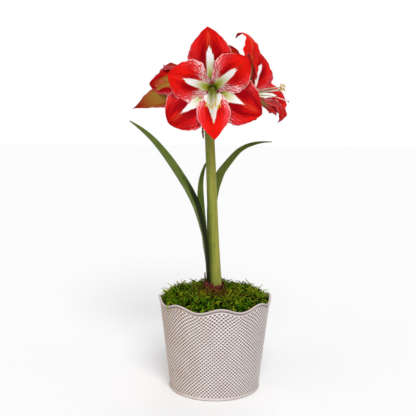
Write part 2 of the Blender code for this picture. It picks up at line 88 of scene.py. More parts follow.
# A dimple has eight sides; each of its rings has a share of the half cell and a share of the depth
DIMPLE_RINGS = ((0.34, -0.8), (0.62, 0.0))
DIMPLE_RAISED = 0.35

# The bulb and the moss round it
BULB_X = -1.0
NECK_R = 15.5
NECK_TOP_Z = 161
POCKET_R = 13.8
POCKET_Z = 139
POCKET_LIP = [(0, POCKET_Z), (POCKET_R, POCKET_Z), (POCKET_R, 150), (POCKET_R, 159),
              (14.0, 161.0), (14.3, 161.2)]
ROOT_COUNT = 7
ROOT_R = 2.1
ROOT_START_R = 9
ROOT_TOP_Z = 52
BULB_SIDE = ((NECK_R, NECK_TOP_Z), (15.2, 155), (15.2, 128), (17.5, 122.5), (24.5, 115), (32.5, 104),
             (36.8, 91), (36.8, 78), (32.5, 65), (24.0, 56), (14.5, 53), (13.5, 50), (0, 50))
# The papery scales of the collar: bearing and half reach in degrees, and height of the top edge
COLLAR_SCALES = ((200, 62, 173), (320, 58, 168.5), (80, 66, 171),
                 (262, 48, 166.5), (20, 40, 169.5), (140, 44, 170))
SCALE_LOW_Z = 150
SCALE_R = 15.0
SCALE_LEAN = 0.5
SCALE_ROUGH = 0.9
TORN_BEARING = 192
TORN_LENGTH = 30
MOSS_HOLE_R = 16.0
MOSS_FOOT_Z = 128.3
MOSS_EDGE_Z = 139
MOSS_RIM_R = POT_BASE_R - POT_WALL - 0.5 + POT_SLOPE * MOSS_EDGE_Z
MOSS_RINGS = 46
MOSS_COLUMNS = 220
MOSS_DOME = 15
MOSS_LUMP = 5.6
MOSS_LUMP_SIZE = 17
MOSS_HEAP = 7
# Loose strands: bearing in degrees from +x, start radius, rise at each step, and sideways swing
MOSS_LOOSE = ((196, 70, 3.6, 0.03), (186, 69, 5.5, -0.02), (206, 68, 2.2, 0.02), (176, 66, 6.0, 0.02),
              (168, 64, 6.5, -0.02), (-4, 70, 3.8, 0.02), (6, 68, 5.0, -0.02), (14, 66, 5.6, 0.02),
              (-12, 71, 2.6, 0.02))
MOSS_LOOSE_STEP = 4.2
MOSS_LOOSE_Z = 148.5
MOSS_HANGING = ((-63, -52, 148), (-67.5, -56, 152.5), (-70.8, -59.6, 152), (-72.2, -61.2, 146),
                (-71.6, -61, 139), (-70.2, -60.6, 132))
LEAFLET_FACES = ((0, 1, 2), (1, 3, 2), (0, 2, 3), (0, 3, 1))

# The stalk, from the pocket in the bulb to the umbel, and the stems of its blooms
SCAPE_LINE = ((2.6, 0, 139.6), (1.6, 0, 168), (-3.2, 0, 246), (-7.2, 0, 337), (-10.0, 0, 398),
              (-10.5, 0, 424))
SCAPE_RADII = (9.2, 9.2, 8.4, 7.8, 7.4, 8.4)
PEDICEL_REACH = 30
PEDICEL_RADII = (3.4, 3.2, 3.0, 3.2)
OVARY_LENGTH = 15
OVARY_R = 4.7
OVARY_SHARES = (0, 0.2, 0.45, 0.7, 0.9, 1)
OVARY_RADII = (3.0, 4.2, OVARY_R, OVARY_R, 4.4, 4.3)
SEAT_GAP = 0.3

# Petals
PETAL_START = 0.06
PETAL_CLAW = 5
RING_SHARE = 1.05
RUFFLE = 1.8
RUFFLE_WAVES = 3.5
PETAL_ROWS = 72
PETAL_COLUMNS = 33
TUBE_HEIGHTS = (0.3, 2, 5, 9, 12)
TUBE_RADII = (4.4, 5.6, 6.5, 7.2, 7.6)
FRINGE_BEARINGS = (95, 214, 334)
FRINGE_R = 8.2
FRINGE_Z = 17.5
FRINGE_HEIGHT = 5
OUTER = dict(cup=(190, 70, 18, 2, -5, -8, 0), foot=5.5, inward=-1.0)
INNER = dict(cup=(220, 75, 20, 4, -5, -7, 0), foot=4.2, inward=2.0)
FOLDED = dict(cup=(190, 70, 40, 30, 25, 20, 20), foot=5.5, inward=-1.0)

# Each petal: whorl, azimuth about the bloom's axis (90 is up), length and width, lean of its middle
# and of its tip from the axis in degrees, where it is widest, how pointed it is, and sideways sweep
BLOOMS = {
    "front": dict(foot=(-6.2, -22.0, 475.9), faces=(0, -1, 0), leaves_umbel=(0, 0, 1), petals=(
        (OUTER, 95, 110, 64, 64, 135, 0.56, 1.05, 0),
        (OUTER, 218, 103, 67, 56, 118, 0.64, 0.72, 0),
        (OUTER, 338, 102, 70, 56, 92, 0.58, 0.80, -6),
        (INNER, 162, 92, 64, 50, 84, 0.60, 0.75, 0),
        (INNER, 40, 92, 59, 50, 84, 0.62, 0.70, 0),
        (INNER, 273, 98, 50, 54, 76, 0.55, 0.95, 0))),
    "right": dict(foot=(28.0, 25.0, 458.1), faces=(0.776, -0.349, 0.525),
                  leaves_umbel=(0.2, 0.6, 0.8), petals=(
        (OUTER, 84, 138, 54, 50, 212, 0.52, 0.95, 0),
        (OUTER, 225, 106, 59, 51, 89, 0.62, 0.85, 0),
        (OUTER, 336, 96, 72, 52, 104, 0.62, 0.85, 0),
        (INNER, 155, 105, 58, 42, 77, 0.60, 0.75, 0),
        (INNER, 41, 106, 72, 53, 118, 0.60, 0.75, 0),
        (INNER, 268, 103, 50, 42, 185, 0.60, 0.85, 0))),
    "left": dict(foot=(-26.6, 28.0, 504.6), faces=(-0.502, 0.710, -0.494),
                 leaves_umbel=(-0.2, 0.1, 1), petals=(
        (OUTER, 91, 90, 61, 37, 70, 0.62, 0.85, 0),
        (FOLDED, 349, 126, 48, 44, 56, 0.46, 1.35, 0),
        (OUTER, 210, 98, 60, 37, 85, 0.62, 0.85, 0),
        (INNER, 21, 90, 58, 40, 48, 0.60, 0.75, 0),
        (INNER, 149, 95, 57, 43, 80, 0.60, 0.75, 0),
        (INNER, 273, 94, 58, 42, 60, 0.60, 0.75, 0))),
    "back": dict(foot=(-2.6, 56.1, 463.2), faces=(0.549, 0.807, 0.218),
                 leaves_umbel=(-0.3, 0.9, 0.6), petals=(
        (OUTER, 94, 98, 63, 53, 115, 0.62, 0.85, 0),
        (OUTER, 232, 86, 58, 48, 80, 0.62, 0.85, 0),
        (OUTER, 351, 90, 58, 41, 70, 0.62, 0.85, 0),
        (INNER, 170, 92, 54, 45, 67, 0.60, 0.75, 0),
        (INNER, 49, 91, 54, 42, 70, 0.60, 0.75, 0),
        (INNER, 292, 91, 52, 46, 68, 0.60, 0.75, 0))),
}

# How strongly each petal's flanks are veined with white, how far along it the white stripe runs, how much the
# stripe is drawn to a point, and how much painted shade deepens the petal's red (below 0, painted light)
MARKS = {
    "front": ((0.6, 0.68, 0.15, 0.0), (0.8, 0.76, 0.9, 0.14), (0.8, 0.74, 0.9, 0.12), (1.0, 0.72, 0.25, -0.1),
              (1.0, 0.74, 0.25, -0.1), (1.2, 0.70, 0.5, -0.3)),
    "right": ((0.2, 0.3, 0.5, -0.4), (0.5, 0.6, 0.5, 0.1), (1.2, 0.72, 0.3, 0.0), (1.0, 0.68, 0.3, 0.0),
              (1.3, 0.70, 0.2, 0.0), (0.9, 0.55, 0.3, 0.0)),
    "left": ((0.45, 0.62, 0.3, 0.25),) * 3 + ((1.0, 0.68, 0.2, 0.2),) * 3,
    "back": ((0.45, 0.62, 0.3, 0.1),) * 3 + ((1.0, 0.68, 0.2, 0.0),) * 3,
}

# Stamens and style: across, up and out from the bloom's foot, with the tips fanned across
STAMEN_RING_R = 1.9
STAMEN_LINE = ((0, 0, 12.8), (0.2, -4, 32), (0.6, -13, 54), (1.0, -23.5, 78), (1.05, -24.0, 80.5))
STAMEN_FAN = (-10, -6, -2, 2, 6, 9)
STAMEN_DRIFT = (0, 0, 0.6, 2.0, 2.2)
STAMEN_STARTS = (150, 210, 270, 90, 330, 30)
STAMEN_SEAT_HEIGHTS = (12.35, 12.9, 13.5, 14.0)
STYLE_LINE = ((0, 0, 12.8), (0.6, -9, 32), (1.8, -25, 56), (2.5, -47, 76))

# Blades: places along the middle line, half widths, the channel across the blade in 1/m, and the turn
# of the blade about its middle line in degrees, each from foot to tip; side is where it arches, 1 left
BLADES = {
    "leaf_left": dict(
        line=((-11.6, -3.4, 139.7), (-12.4, -4.4, 168), (-14, -6.5, 204), (-17.3, -8, 235),
              (-22, -9, 259), (-30.1, -9.5, 290), (-39.5, -10, 312), (-50.5, -10, 332.5),
              (-72.2, -12, 366), (-95.9, -15, 396.5), (-114, -18, 414), (-132.6, -20, 427.2)),
        half_width=(4.6, 5.6, 7.6, 9.5, 11, 11.5, 11, 9.5, 7.5, 4.5, 0.8),
        channel=(85, 80, 60, 50, 45, 40, 40, 40, 40, 40, 40), turn=(15, 20, 25, 35, 42, 45, 45, 45), side=1),
    "leaf_inner": dict(
        line=((-9, 6.2, 139.7), (-10.2, 6.8, 168), (-13.2, 7.2, 204), (-16.5, 7.4, 230), (-18.6, 7.4, 257),
              (-21.6, 7.6, 280), (-23.6, 8, 299), (-24.2, 8.4, 318), (-23.2, 9, 334), (-20.5, 9.8, 347.5),
              (-15.9, 12.5, 359.9), (-9.6, 16, 366.4)),
        half_width=(2.8, 3.2, 4, 4.8, 5.2, 5.6, 5.2, 4.2, 3, 1.6, 0.7),
        channel=(85, 80, 60, 50, 45, 40, 40, 40), turn=(-38, -42, -55, -65, -75, -75, -70, -60), side=1),
    "leaf_right": dict(
        line=((-2, 11.4, 139.7), (-3, 12.4, 168), (-5, 14, 201), (-5.5, 15, 237), (-6, 15.2, 270),
              (-5.5, 15.4, 297), (-2, 16.4, 319), (4, 18.5, 336), (11.5, 22, 350), (31.8, 29, 374.5),
              (45.4, 33, 384.6), (60.8, 38, 390.3), (75.5, 44, 392.5), (90.5, 50, 392.5)),
        half_width=(4.4, 5.4, 7.2, 8, 8, 7.6, 6.6, 5.2, 4.0, 2.6, 0.7),
        channel=(75, 70, 55, 45, 40, 40, 40, 40), turn=(-105, -100, -92, -90, -82, -64, -48, -40, -35),
        side=-1),
    "spathe_left": dict(
        line=((-20.3, -2.5, 426), (-21.6, -3.5, 418), (-21, -4.5, 408), (-19.8, -5, 399.5)),
        half_width=(4, 3.6, 2.6, 0.8), channel=(110, 90, 90, 60), turn=(0, -30, -50), side=-1),
    "spathe_back": dict(
        line=((-10.4, 9.3, 421), (-10.2, 10.6, 411), (-10.2, 11.4, 398), (-10.6, 11, 384)),
        half_width=(4.5, 4, 3, 0.8), channel=(110, 90, 90, 60), turn=(-90, -90, -90), side=1),
}

# Stage, in metres and degrees
FLOOR_HALF = 6.0
CAMERA_PLACE = (0, -1.1934, 0.4669)
CAMERA_PITCH = 8.402
CAMERA_YAW = -0.579
CAMERA_ROLL = 0.412
CAMERA_SENSOR = 36


# Node trees

class Field:
    """A number that varies over a surface: a socket of a node tree, with the usual arithmetic."""

    def __init__(self, tree, socket):
        self.tree = tree
        self.socket = socket

    def calc(self, operation, *others):
        node = self.tree.nodes.new("ShaderNodeMath")
        node.operation = operation
        for socket, value in zip(node.inputs, (self, *others)):
            plug(self.tree, socket, value)
        return Field(self.tree, node.outputs[0])

    def __add__(self, other):
        return self.calc("ADD", other)

    def __mul__(self, other):
        return self.calc("MULTIPLY", other)

    def __sub__(self, other):
        return self.calc("SUBTRACT", other)

    def __rsub__(self, other):
        return self.calc("MULTIPLY_ADD", -1.0, other)

    def __truediv__(self, other):
        return self.calc("DIVIDE", other)

    __radd__ = __add__
    __rmul__ = __mul__

    def size(self):
        return self.calc("ABSOLUTE")

    def most(self, other):
        return self.calc("MAXIMUM", other)

    def least(self, other):
        return self.calc("MINIMUM", other)

    def rise(self, low, high):
        """0 below low, 1 above high, and smooth between."""
        node = self.tree.nodes.new("ShaderNodeMapRange")
        node.interpolation_type = "SMOOTHSTEP"
        for name, value in (("Value", self), ("From Min", low), ("From Max", high)):
            plug(self.tree, node.inputs[name], value)
        return Field(self.tree, node.outputs["Result"])

    def lines(self):
        """1 on each whole number, falling to 0 half way between."""
        return (self.calc("FRACT") - 0.5).size() * 2


def plug(tree, socket, value):
    """Sets a socket's value, or joins it to a field."""
    if isinstance(value, Field):
        tree.links.new(value.socket, socket)
    else:
        socket.default_value = value


def vector(tree, x, y, z):
    node = tree.nodes.new("ShaderNodeCombineXYZ")
    for socket, value in zip(node.inputs, (x, y, z)):
        plug(tree, socket, value)
    return Field(tree, node.outputs[0])


def parts_of(field):
    """The three parts of a vector field."""
    node = field.tree.nodes.new("ShaderNodeSeparateXYZ")
    plug(field.tree, node.inputs[0], field)
    return [Field(field.tree, output) for output in node.outputs]


def grain(tree, x, y, z, detail=3.0):
    """Soft noise from about 0.2 to 0.8."""
    node = tree.nodes.new("ShaderNodeTexNoise")
    plug(tree, node.inputs["Vector"], vector(tree, x, y, z))
    node.inputs["Scale"].default_value = 1.0
    node.inputs["Detail"].default_value = detail
    return Field(tree, node.outputs[0])


def cell_edge(tree, x, y, z):
    """The distance to the nearest edge of a net of cells."""
    node = tree.nodes.new("ShaderNodeTexVoronoi")
    node.feature = "DISTANCE_TO_EDGE"
    plug(tree, node.inputs["Vector"], vector(tree, x, y, z))
    node.inputs["Scale"].default_value = 1.0
    return Field(tree, node.outputs["Distance"])


def attribute(tree, name):
    node = tree.nodes.new("ShaderNodeAttribute")
    node.attribute_name = name
    return node


def place_on(tree, name="place"):
    """A piece's own surface place: across, along and aside."""
    return parts_of(Field(tree, attribute(tree, name).outputs["Vector"]))


def object_place(tree):
    """The place in the piece's space, in metres."""
    node = tree.nodes.new("ShaderNodeTexCoord")
    return parts_of(Field(tree, node.outputs["Object"]))


def even_grain(tree, scale, detail):
    """Soft noise in the piece's space, the same size along every axis: scale is its waves to a metre."""
    x, y, z = object_place(tree)
    return grain(tree, x * scale, y * scale, z * scale, detail)


def shaded(colour, share):
    """A colour with each of its parts multiplied by the share."""
    return tuple(share * part for part in colour)


def mixed(tree, share, first, second):
    """The first colour where share is 0, the second where it is 1."""
    node = tree.nodes.new("ShaderNodeMix")
    node.data_type = "RGBA"
    plug(tree, node.inputs[0], share)
    for socket, colour in ((node.inputs[6], first), (node.inputs[7], second)):
        plug(tree, socket, colour if isinstance(colour, Field) else (*colour, 1.0))
    return Field(tree, node.outputs[2])


def new_material(name, **values):
    """A material, its tree and its shader, with the shader's own values set."""
    material = bpy.data.materials.new(name)
    material.use_nodes = True
    shader = material.node_tree.nodes["Principled BSDF"]
    for key, value in values.items():
        shader.inputs[key.replace("_", " ").title().replace("Ior", "IOR")].default_value = value
    return material, material.node_tree, shader


def finish_material(tree, shader, colour, height, depth_mm, roughness=None):
    """Joins a colour, a relief of the given depth and, if it varies, a roughness to the shader."""
    plug(tree, shader.inputs["Base Color"], colour)
    bump = tree.nodes.new("ShaderNodeBump")
    bump.inputs["Distance"].default_value = depth_mm * MM
    plug(tree, bump.inputs["Height"], height)
    tree.links.new(bump.outputs[0], shader.inputs["Normal"])
    if roughness is not None:
        plug(tree, shader.inputs["Roughness"], roughness)


def geometry_tree(name, inputs):
    """An empty Geometry Nodes tree, its inputs as fields by name, and its group output node."""
    tree = bpy.data.node_groups.new(name, "GeometryNodeTree")
    tree.interface.new_socket("Geometry", in_out="INPUT", socket_type="NodeSocketGeometry")
    for label, kind in inputs:
        tree.interface.new_socket(label, in_out="INPUT", socket_type="NodeSocket" + kind)
    tree.interface.new_socket("Geometry", in_out="OUTPUT", socket_type="NodeSocketGeometry")
    start = tree.nodes.new("NodeGroupInput")
    given = {output.name: Field(tree, output) for output in start.outputs if output.name}
    return tree, given, tree.nodes.new("NodeGroupOutput")


def chain(tree, kind, geometry, **inputs):
    """A geometry node fed by another's geometry, with its other inputs set by name."""
    node = tree.nodes.new(kind)
    if geometry is not None:
        tree.links.new(geometry, node.inputs[0])
    for key, value in inputs.items():
        plug(tree, node.inputs[key.replace("_", " ").title()], value)
    return node


def position(tree):
    """The three parts of a point's place, in a Geometry Nodes tree."""
    return parts_of(Field(tree, tree.nodes.new("GeometryNodeInputPosition").outputs[0]))


def copies(tree, points, form, **inputs):
    """Instances of the object form on points."""
    source = tree.nodes.new("GeometryNodeObjectInfo")
    plug(tree, source.inputs["Object"], form)
    placed = chain(tree, "GeometryNodeInstanceOnPoints", points, **inputs)
    tree.links.new(source.outputs["Geometry"], placed.inputs["Instance"])
    return placed.outputs[0]


def end_tree(tree, instances, material, end):
    """Makes the instances real, gives them their material and joins them to the tree's output."""
    real = chain(tree, "GeometryNodeRealizeInstances", instances)
    painted = chain(tree, "GeometryNodeSetMaterial", real.outputs[0], material=material)
    tree.links.new(painted.outputs[0], end.inputs[0])
    return tree


def run_tree(obj, tree, values):
    """Makes obj the plain mesh that the tree gives for these input values."""
    modifier = obj.modifiers.new(tree.name, "NODES")
    modifier.node_group = tree
    for item in tree.interface.items_tree:
        if item.in_out == "INPUT" and item.name in values:
            modifier[item.identifier] = values[item.name]
    bpy.context.view_layer.update()
    evaluated = obj.evaluated_get(bpy.context.evaluated_depsgraph_get())
    mesh = bpy.data.meshes.new_from_object(evaluated)
    obj.modifiers.remove(modifier)
    obj.data = mesh
    mesh.name = obj.name
    return obj


# Meshes

def link(name, mesh):
    obj = bpy.data.objects.new(name, mesh)
    bpy.context.scene.collection.objects.link(obj)
    return obj


def remove(obj):
    bpy.data.objects.remove(obj, do_unlink=True)


def dress(obj, slot, *nodes):
    """A finished piece takes its place in the frame, in the place of the nodes named."""
    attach(obj, "root")
    if nodes:
        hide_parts(*nodes)


def points_of(obj):
    """The points of an object's mesh, in metres."""
    spots = np.empty(len(obj.data.vertices) * 3)
    obj.data.vertices.foreach_get("co", spots)
    return spots.reshape(-1, 3)


def piece(name, parts, materials):
    """One object from parts: each has points in mm, faces, a slot for each face and values at its points.

    The first part names the values, and a part that leaves one out has zeros there.
    """
    points = np.concatenate([part["points"] for part in parts])
    starts = np.cumsum([0] + [len(part["points"]) for part in parts])
    faces = []
    for part, start in zip(parts, starts):
        faces += [tuple(corner + start for corner in face) for face in part["faces"]]
    mesh = bpy.data.meshes.new(name)
    mesh.from_pydata((points * MM).tolist(), [], faces)
    mesh.polygons.foreach_set("material_index", np.concatenate([part["slots"] for part in parts]))
    for key in parts[0]["values"]:
        values = [part["values"].get(key, np.zeros((len(part["points"]), 3))) for part in parts]
        values = np.concatenate(values).astype(np.float32)
        mesh.attributes.new(key, "FLOAT_VECTOR", "POINT").data.foreach_set("vector", values.ravel())
    for material in materials:
        mesh.materials.append(material)
    mesh.shade_smooth()
    return link(name, mesh)


def grid_faces(rows, columns, start=0, closed=False):
    """Quads over a grid of points, row after row; a closed grid joins its last column to its first."""
    here = np.arange(rows * columns).reshape(rows, columns) + start
    if closed:
        here = np.concatenate([here, here[:, :1]], axis=1)
    quads = np.stack([here[:-1, :-1], here[1:, :-1], here[1:, 1:], here[:-1, 1:]], axis=-1)
    return quads.reshape(-1, 4).tolist()


def sheet_part(shape, rows, columns, thickness, kind=(0, 0, 0)):
    """A thin closed sheet: shape gives points and the distance aside for places along and across it.

    The face looks along the cross product of along and across, and the back, on the second slot, away.
    """
    shares = np.linspace(0, 1, rows)
    edges = np.linspace(-1, 1, columns)
    along, across = (grid.ravel() for grid in np.meshgrid(shares, edges, indexing="ij"))
    middle, aside = shape(along, across)
    net = middle.reshape(rows, columns, 3)
    normal = np.cross(np.gradient(net, axis=0), np.gradient(net, axis=1)).reshape(-1, 3)
    normal /= np.maximum(np.linalg.norm(normal, axis=1), 1e-9)[:, None]
    half = (thickness(along, across) / 2)[:, None]
    count = rows * columns
    front = grid_faces(rows, columns)
    back = [[corner + count for corner in reversed(face)] for face in front]
    spot = np.arange(count).reshape(rows, columns)
    loop = np.concatenate([spot[:, 0], spot[-1, 1:], spot[-2::-1, -1], spot[0, -2:0:-1]])
    after = np.roll(loop, -1)
    rim = np.stack([loop, loop + count, after + count, after], axis=-1).tolist()
    place = np.stack([across, along, aside / 10], axis=-1)
    return dict(points=np.concatenate([middle + normal * half, middle - normal * half]),
                faces=front + back + rim,
                slots=np.repeat([0, 1, 0], [len(front), len(back), len(rim)]),
                values=dict(place=np.tile(place, (2, 1)),
                            kind=np.tile(np.array(kind, float), (2 * count, 1))))


def swept_part(line, radii, rows, sides, slot=0, lobes=0, lobe_depth=0.0, wrinkle=None):
    """A closed round form swept along a smooth line, with a radius at each place and lobes round it."""
    shares = np.linspace(0, 1, rows)
    middle = between(shares, line)
    radius = between(shares, radii)
    ahead = np.gradient(middle, axis=0)
    ahead /= np.linalg.norm(ahead, axis=1)[:, None]
    first = np.cross(ahead[0], (0.31, 0.77, 0.11))
    firsts = []
    for direction in ahead:
        first = first - direction * np.dot(first, direction)
        first /= np.linalg.norm(first)
        firsts.append(first)
    firsts = np.array(firsts)
    seconds = np.cross(ahead, firsts)
    angle = np.linspace(0, TURN, sides, endpoint=False)
    swell = 1 + lobe_depth * np.cos(lobes * angle)
    reach = radius[:, None] * swell[None, :]
    if wrinkle is not None:
        reach = reach + wrinkle(shares[:, None], angle[None, :])
    ring = firsts[:, None, :] * np.cos(angle)[None, :, None]
    ring = ring + seconds[:, None, :] * np.sin(angle)[None, :, None]
    points = (middle[:, None, :] + ring * reach[..., None]).reshape(-1, 3)
    count = rows * sides
    faces = [face[::-1] for face in grid_faces(rows, sides, closed=True)]
    faces += [[count, (i + 1) % sides, i] for i in range(sides)]
    faces += [[count + 1, count - sides + i, count - sides + (i + 1) % sides] for i in range(sides)]
    turn = np.tile(angle / TURN, rows)
    place = np.stack([turn, np.repeat(shares, sides), np.repeat(radius / 10, sides)], axis=-1)
    place = np.concatenate([place, [[0, 0, radius[0] / 10], [0, 1, radius[-1] / 10]]])
    return dict(points=np.concatenate([points, middle[:1], middle[-1:]]), faces=faces,
                slots=np.full(len(faces), slot), values=dict(place=place))


def between(share, values):
    """Smooth values at shares from 0 to 1 of the way along an evenly spaced list."""
    values = np.asarray(values, float)
    last = len(values) - 1
    spot = np.clip(share, 0, 1) * last
    left = np.minimum(spot.astype(int), last - 1)
    part = (spot - left).reshape(spot.shape + (1,) * (values.ndim - 1))
    before, here = values[np.maximum(left - 1, 0)], values[left]
    there, after = values[left + 1], values[np.minimum(left + 2, last)]
    return 0.5 * (2 * here + (there - before) * part + (2 * before - 5 * here + 4 * there - after) * part ** 2
                  + (3 * here - before - 3 * there + after) * part ** 3)


def curl(across, rate):
    """Sideways place and rise of a blade curled across its width at a rate in 1/m."""
    rate = np.where(np.abs(rate) < 0.01, 0.01, rate) * MM
    return np.sin(rate * across) / rate, (1 - np.cos(rate * across)) / rate


def lathe_part(profile, columns, shift_x, ripple):
    """A profile of (radius, height), from its outer side round to its axis, turned about an upright axis."""
    profile = np.array(profile, float)
    angle = np.linspace(0, TURN, columns, endpoint=False)
    turn = np.tile(angle, len(profile))
    radius, height = ripple(np.repeat(profile[:, 0], columns), np.repeat(profile[:, 1], columns), turn)
    points = np.stack([shift_x + radius * np.cos(turn), radius * np.sin(turn), height], axis=-1)
    faces = grid_faces(len(profile), columns, closed=True)
    place = np.stack([turn / TURN, height / 100, radius / 10], axis=-1)
    return dict(points=points, faces=faces, slots=np.zeros(len(faces), int), values=dict(place=place))


def weld(obj, distance=0.01):
    """Closes seams and poles, and turns every face outward."""
    bm = bmesh.new()
    bm.from_mesh(obj.data)
    bmesh.ops.remove_doubles(bm, verts=bm.verts, dist=distance * MM)
    bmesh.ops.dissolve_degenerate(bm, edges=bm.edges, dist=0.001 * MM)
    bmesh.ops.recalc_face_normals(bm, faces=bm.faces)
    bm.to_mesh(obj.data)
    bm.free()


# Settings

def colour_property(name, description, default):
    return FloatVectorProperty(name=name, description=description, default=default, subtype="COLOR",
                               size=3, min=0, max=1)


def length_property(name, description, length):
    """A length given in mm and kept in metres."""
    return FloatProperty(name=name, description=description, default=length * MM, unit="LENGTH")


class PotSettings(bpy.types.PropertyGroup):
    """The dimpled metal pot."""

    columns: IntProperty(name="Dimples round", description="Dimples in one row round the wall",
                         default=80, min=12)
    rows: IntProperty(name="Dimple rows", description="Rows of dimples, each set half a step on",
                      default=48, min=2)
    depth: length_property("Dimple depth", "How far each dimple is pressed in", 0.8)
    scallop: length_property("Scallop rise", "How far the rim rises and falls", SCALLOP_RISE)
    paint: colour_property("Paint", "Worn whitewash on the flats", (0.58, 0.52, 0.50))
    # Whiter paint on the raised spots, with a painted highlight on them
    highlight: colour_property("Highlight", "Paint on the raised spots", (0.86, 0.81, 0.79))
    # Darker metal at the bottom of the dimples, with painted shade in them
    recess_metal_and_shade: colour_property("Recess", "Bare metal at the bottom of the dimples", (0.085, 0.062, 0.056))
    rim: colour_property("Rim", "Rubbed metal on the rolled rim", (0.38, 0.32, 0.30))


class MossSettings(bpy.types.PropertyGroup):
    """The moss on top of the soil."""

    density: FloatProperty(name="Sprigs", description="Sprigs to a square metre", default=165000, min=0)
    length: length_property("Sprig length", "Length of a full-grown sprig", 12)
    deep: colour_property("Deep green", "Shaded moss", (0.006, 0.013, 0.001))
    bright: colour_property("Bright green", "Fresh tips", (0.13, 0.34, 0.008))
    yellow: colour_property("Yellow green", "Sunlit strands", (0.30, 0.32, 0.012))
    brown: colour_property("Brown", "Dry moss near the bulb", (0.13, 0.05, 0.010))


class BulbSettings(bpy.types.PropertyGroup):
    """The bulb's neck and its papery collar."""

    skin: colour_property("Skin", "Papery outer scales", (0.030, 0.004, 0.003))
    pink: colour_property("Pink", "Fresh scales in the collar", (0.24, 0.035, 0.024))
    dry: colour_property("Dry", "Torn dry paper", (0.10, 0.040, 0.022))


class StalkSettings(bpy.types.PropertyGroup):
    """The flower stalk, its bloom stems and the bracts."""

    green: colour_property("Green", "The shaded side of the stalk", (0.115, 0.155, 0.022))
    yellow: colour_property("Yellow green", "The sunny side of the stalk", (0.30, 0.29, 0.045))
    bract: colour_property("Bract", "Dry papery bract", (0.62, 0.30, 0.11))


class LeafSettings(bpy.types.PropertyGroup):
    """The strap leaves."""

    thickness: length_property("Thickness", "Thickness at the middle rib", 1.2)
    green: colour_property("Green", "The blade", (0.090, 0.138, 0.018))
    # Light also paints the sunlit right leaf lighter: painted light
    light: colour_property("Light", "Veins, rib and worn gloss", (0.18, 0.23, 0.045))
    # Dark is painted shade at the foot of each blade
    dark: colour_property("Dark", "The foot of the blade", (0.020, 0.038, 0.008))


class BloomSettings(bpy.types.PropertyGroup):
    """Petals and stamens."""

    thickness: length_property("Thickness", "Petal thickness at its rib", 0.8)
    stripe: length_property("Rib stripe", "Half width of the white stripe", 6.2)
    red: colour_property("Red", "The blade", (0.78, 0.008, 0.004))
    # Crimson is the veins' own colour, and painted shade in the folds, beside the rib and on shaded petals
    crimson: colour_property("Crimson", "Deeper red in folds and veins", (0.27, 0.0, 0.003))
    white: colour_property("White", "Rib stripe and veining", (0.88, 0.89, 0.86))
    green: colour_property("Throat", "The green throat", (0.20, 0.24, 0.008))
    olive: colour_property("Olive", "The rib on the back of a petal", (0.25, 0.15, 0.02))
    pollen: colour_property("Pollen", "Anthers", (0.75, 0.48, 0.04))


class StageSettings(bpy.types.PropertyGroup):
    """Floor, lights and camera."""

    floor: colour_property("Floor", "The pale floor", (0.92, 0.92, 0.92))
    surround: FloatProperty(name="Surround", description="Strength of the light from all round",
                            default=0.42, min=0)
    key: FloatProperty(name="Key light", description="Strength of the key light", default=2.3, min=0)
    fill: FloatProperty(name="Fill light", description="Strength of the fill lights", default=0.5, min=0)
    lens: FloatProperty(name="Lens", description="Focal length", default=66.14, unit="CAMERA")


# The pot

def dimple_tile(pitch, depth):
    """One cell of the embossed sheet: a dimple, with the sheet raised a little at its sides."""
    turns = np.arange(8) * TURN / 8
    half = pitch / 2
    raised = DIMPLE_RAISED * depth
    points = [(0, 0, -depth)]
    for share, level in DIMPLE_RINGS:
        points += [(share * half * math.cos(a), share * half * math.sin(a), level * depth) for a in turns]
    for a in turns:
        x, y = half * round(math.cos(a)), half / 2 * round(math.sin(a))
        points.append((x, y, raised if y == 0 else 0.2 * raised))
    faces = [(0, 1 + i, 1 + (i + 1) % 8) for i in range(8)]
    for ring in (1, 9):
        faces += [(ring + i, ring + 8 + i, ring + 8 + (i + 1) % 8, ring + (i + 1) % 8) for i in range(8)]
    mesh = bpy.data.meshes.new("dimple_tile")
    mesh.from_pydata(points, [], faces)
    return link("dimple_tile", mesh)


def embossed_tree():
    """Dimples set out over a flat sheet, every second row half a step on."""
    tree, given, end = geometry_tree("Embossed sheet", [
        ("Tile", "Object"), ("Columns", "Int"), ("Rows", "Int"), ("Pitch", "Float"),
        ("Material", "Material")])
    step = given["Pitch"] / 2
    grid = tree.nodes.new("GeometryNodeMeshGrid")
    plug(tree, grid.inputs["Size X"], (given["Columns"] - 1) * given["Pitch"])
    plug(tree, grid.inputs["Size Y"], (given["Rows"] - 1) * step)
    plug(tree, grid.inputs["Vertices X"], given["Columns"])
    plug(tree, grid.inputs["Vertices Y"], given["Rows"])
    row = (position(tree)[1] / step + (given["Rows"] - 1) / 2).calc("ROUND")
    shift = vector(tree, row.calc("MODULO", 2.0) * step, 0.0, 0.0)
    moved = chain(tree, "GeometryNodeSetPosition", grid.outputs["Mesh"], offset=shift)
    return end_tree(tree, copies(tree, moved.outputs[0], given["Tile"]), given["Material"], end)


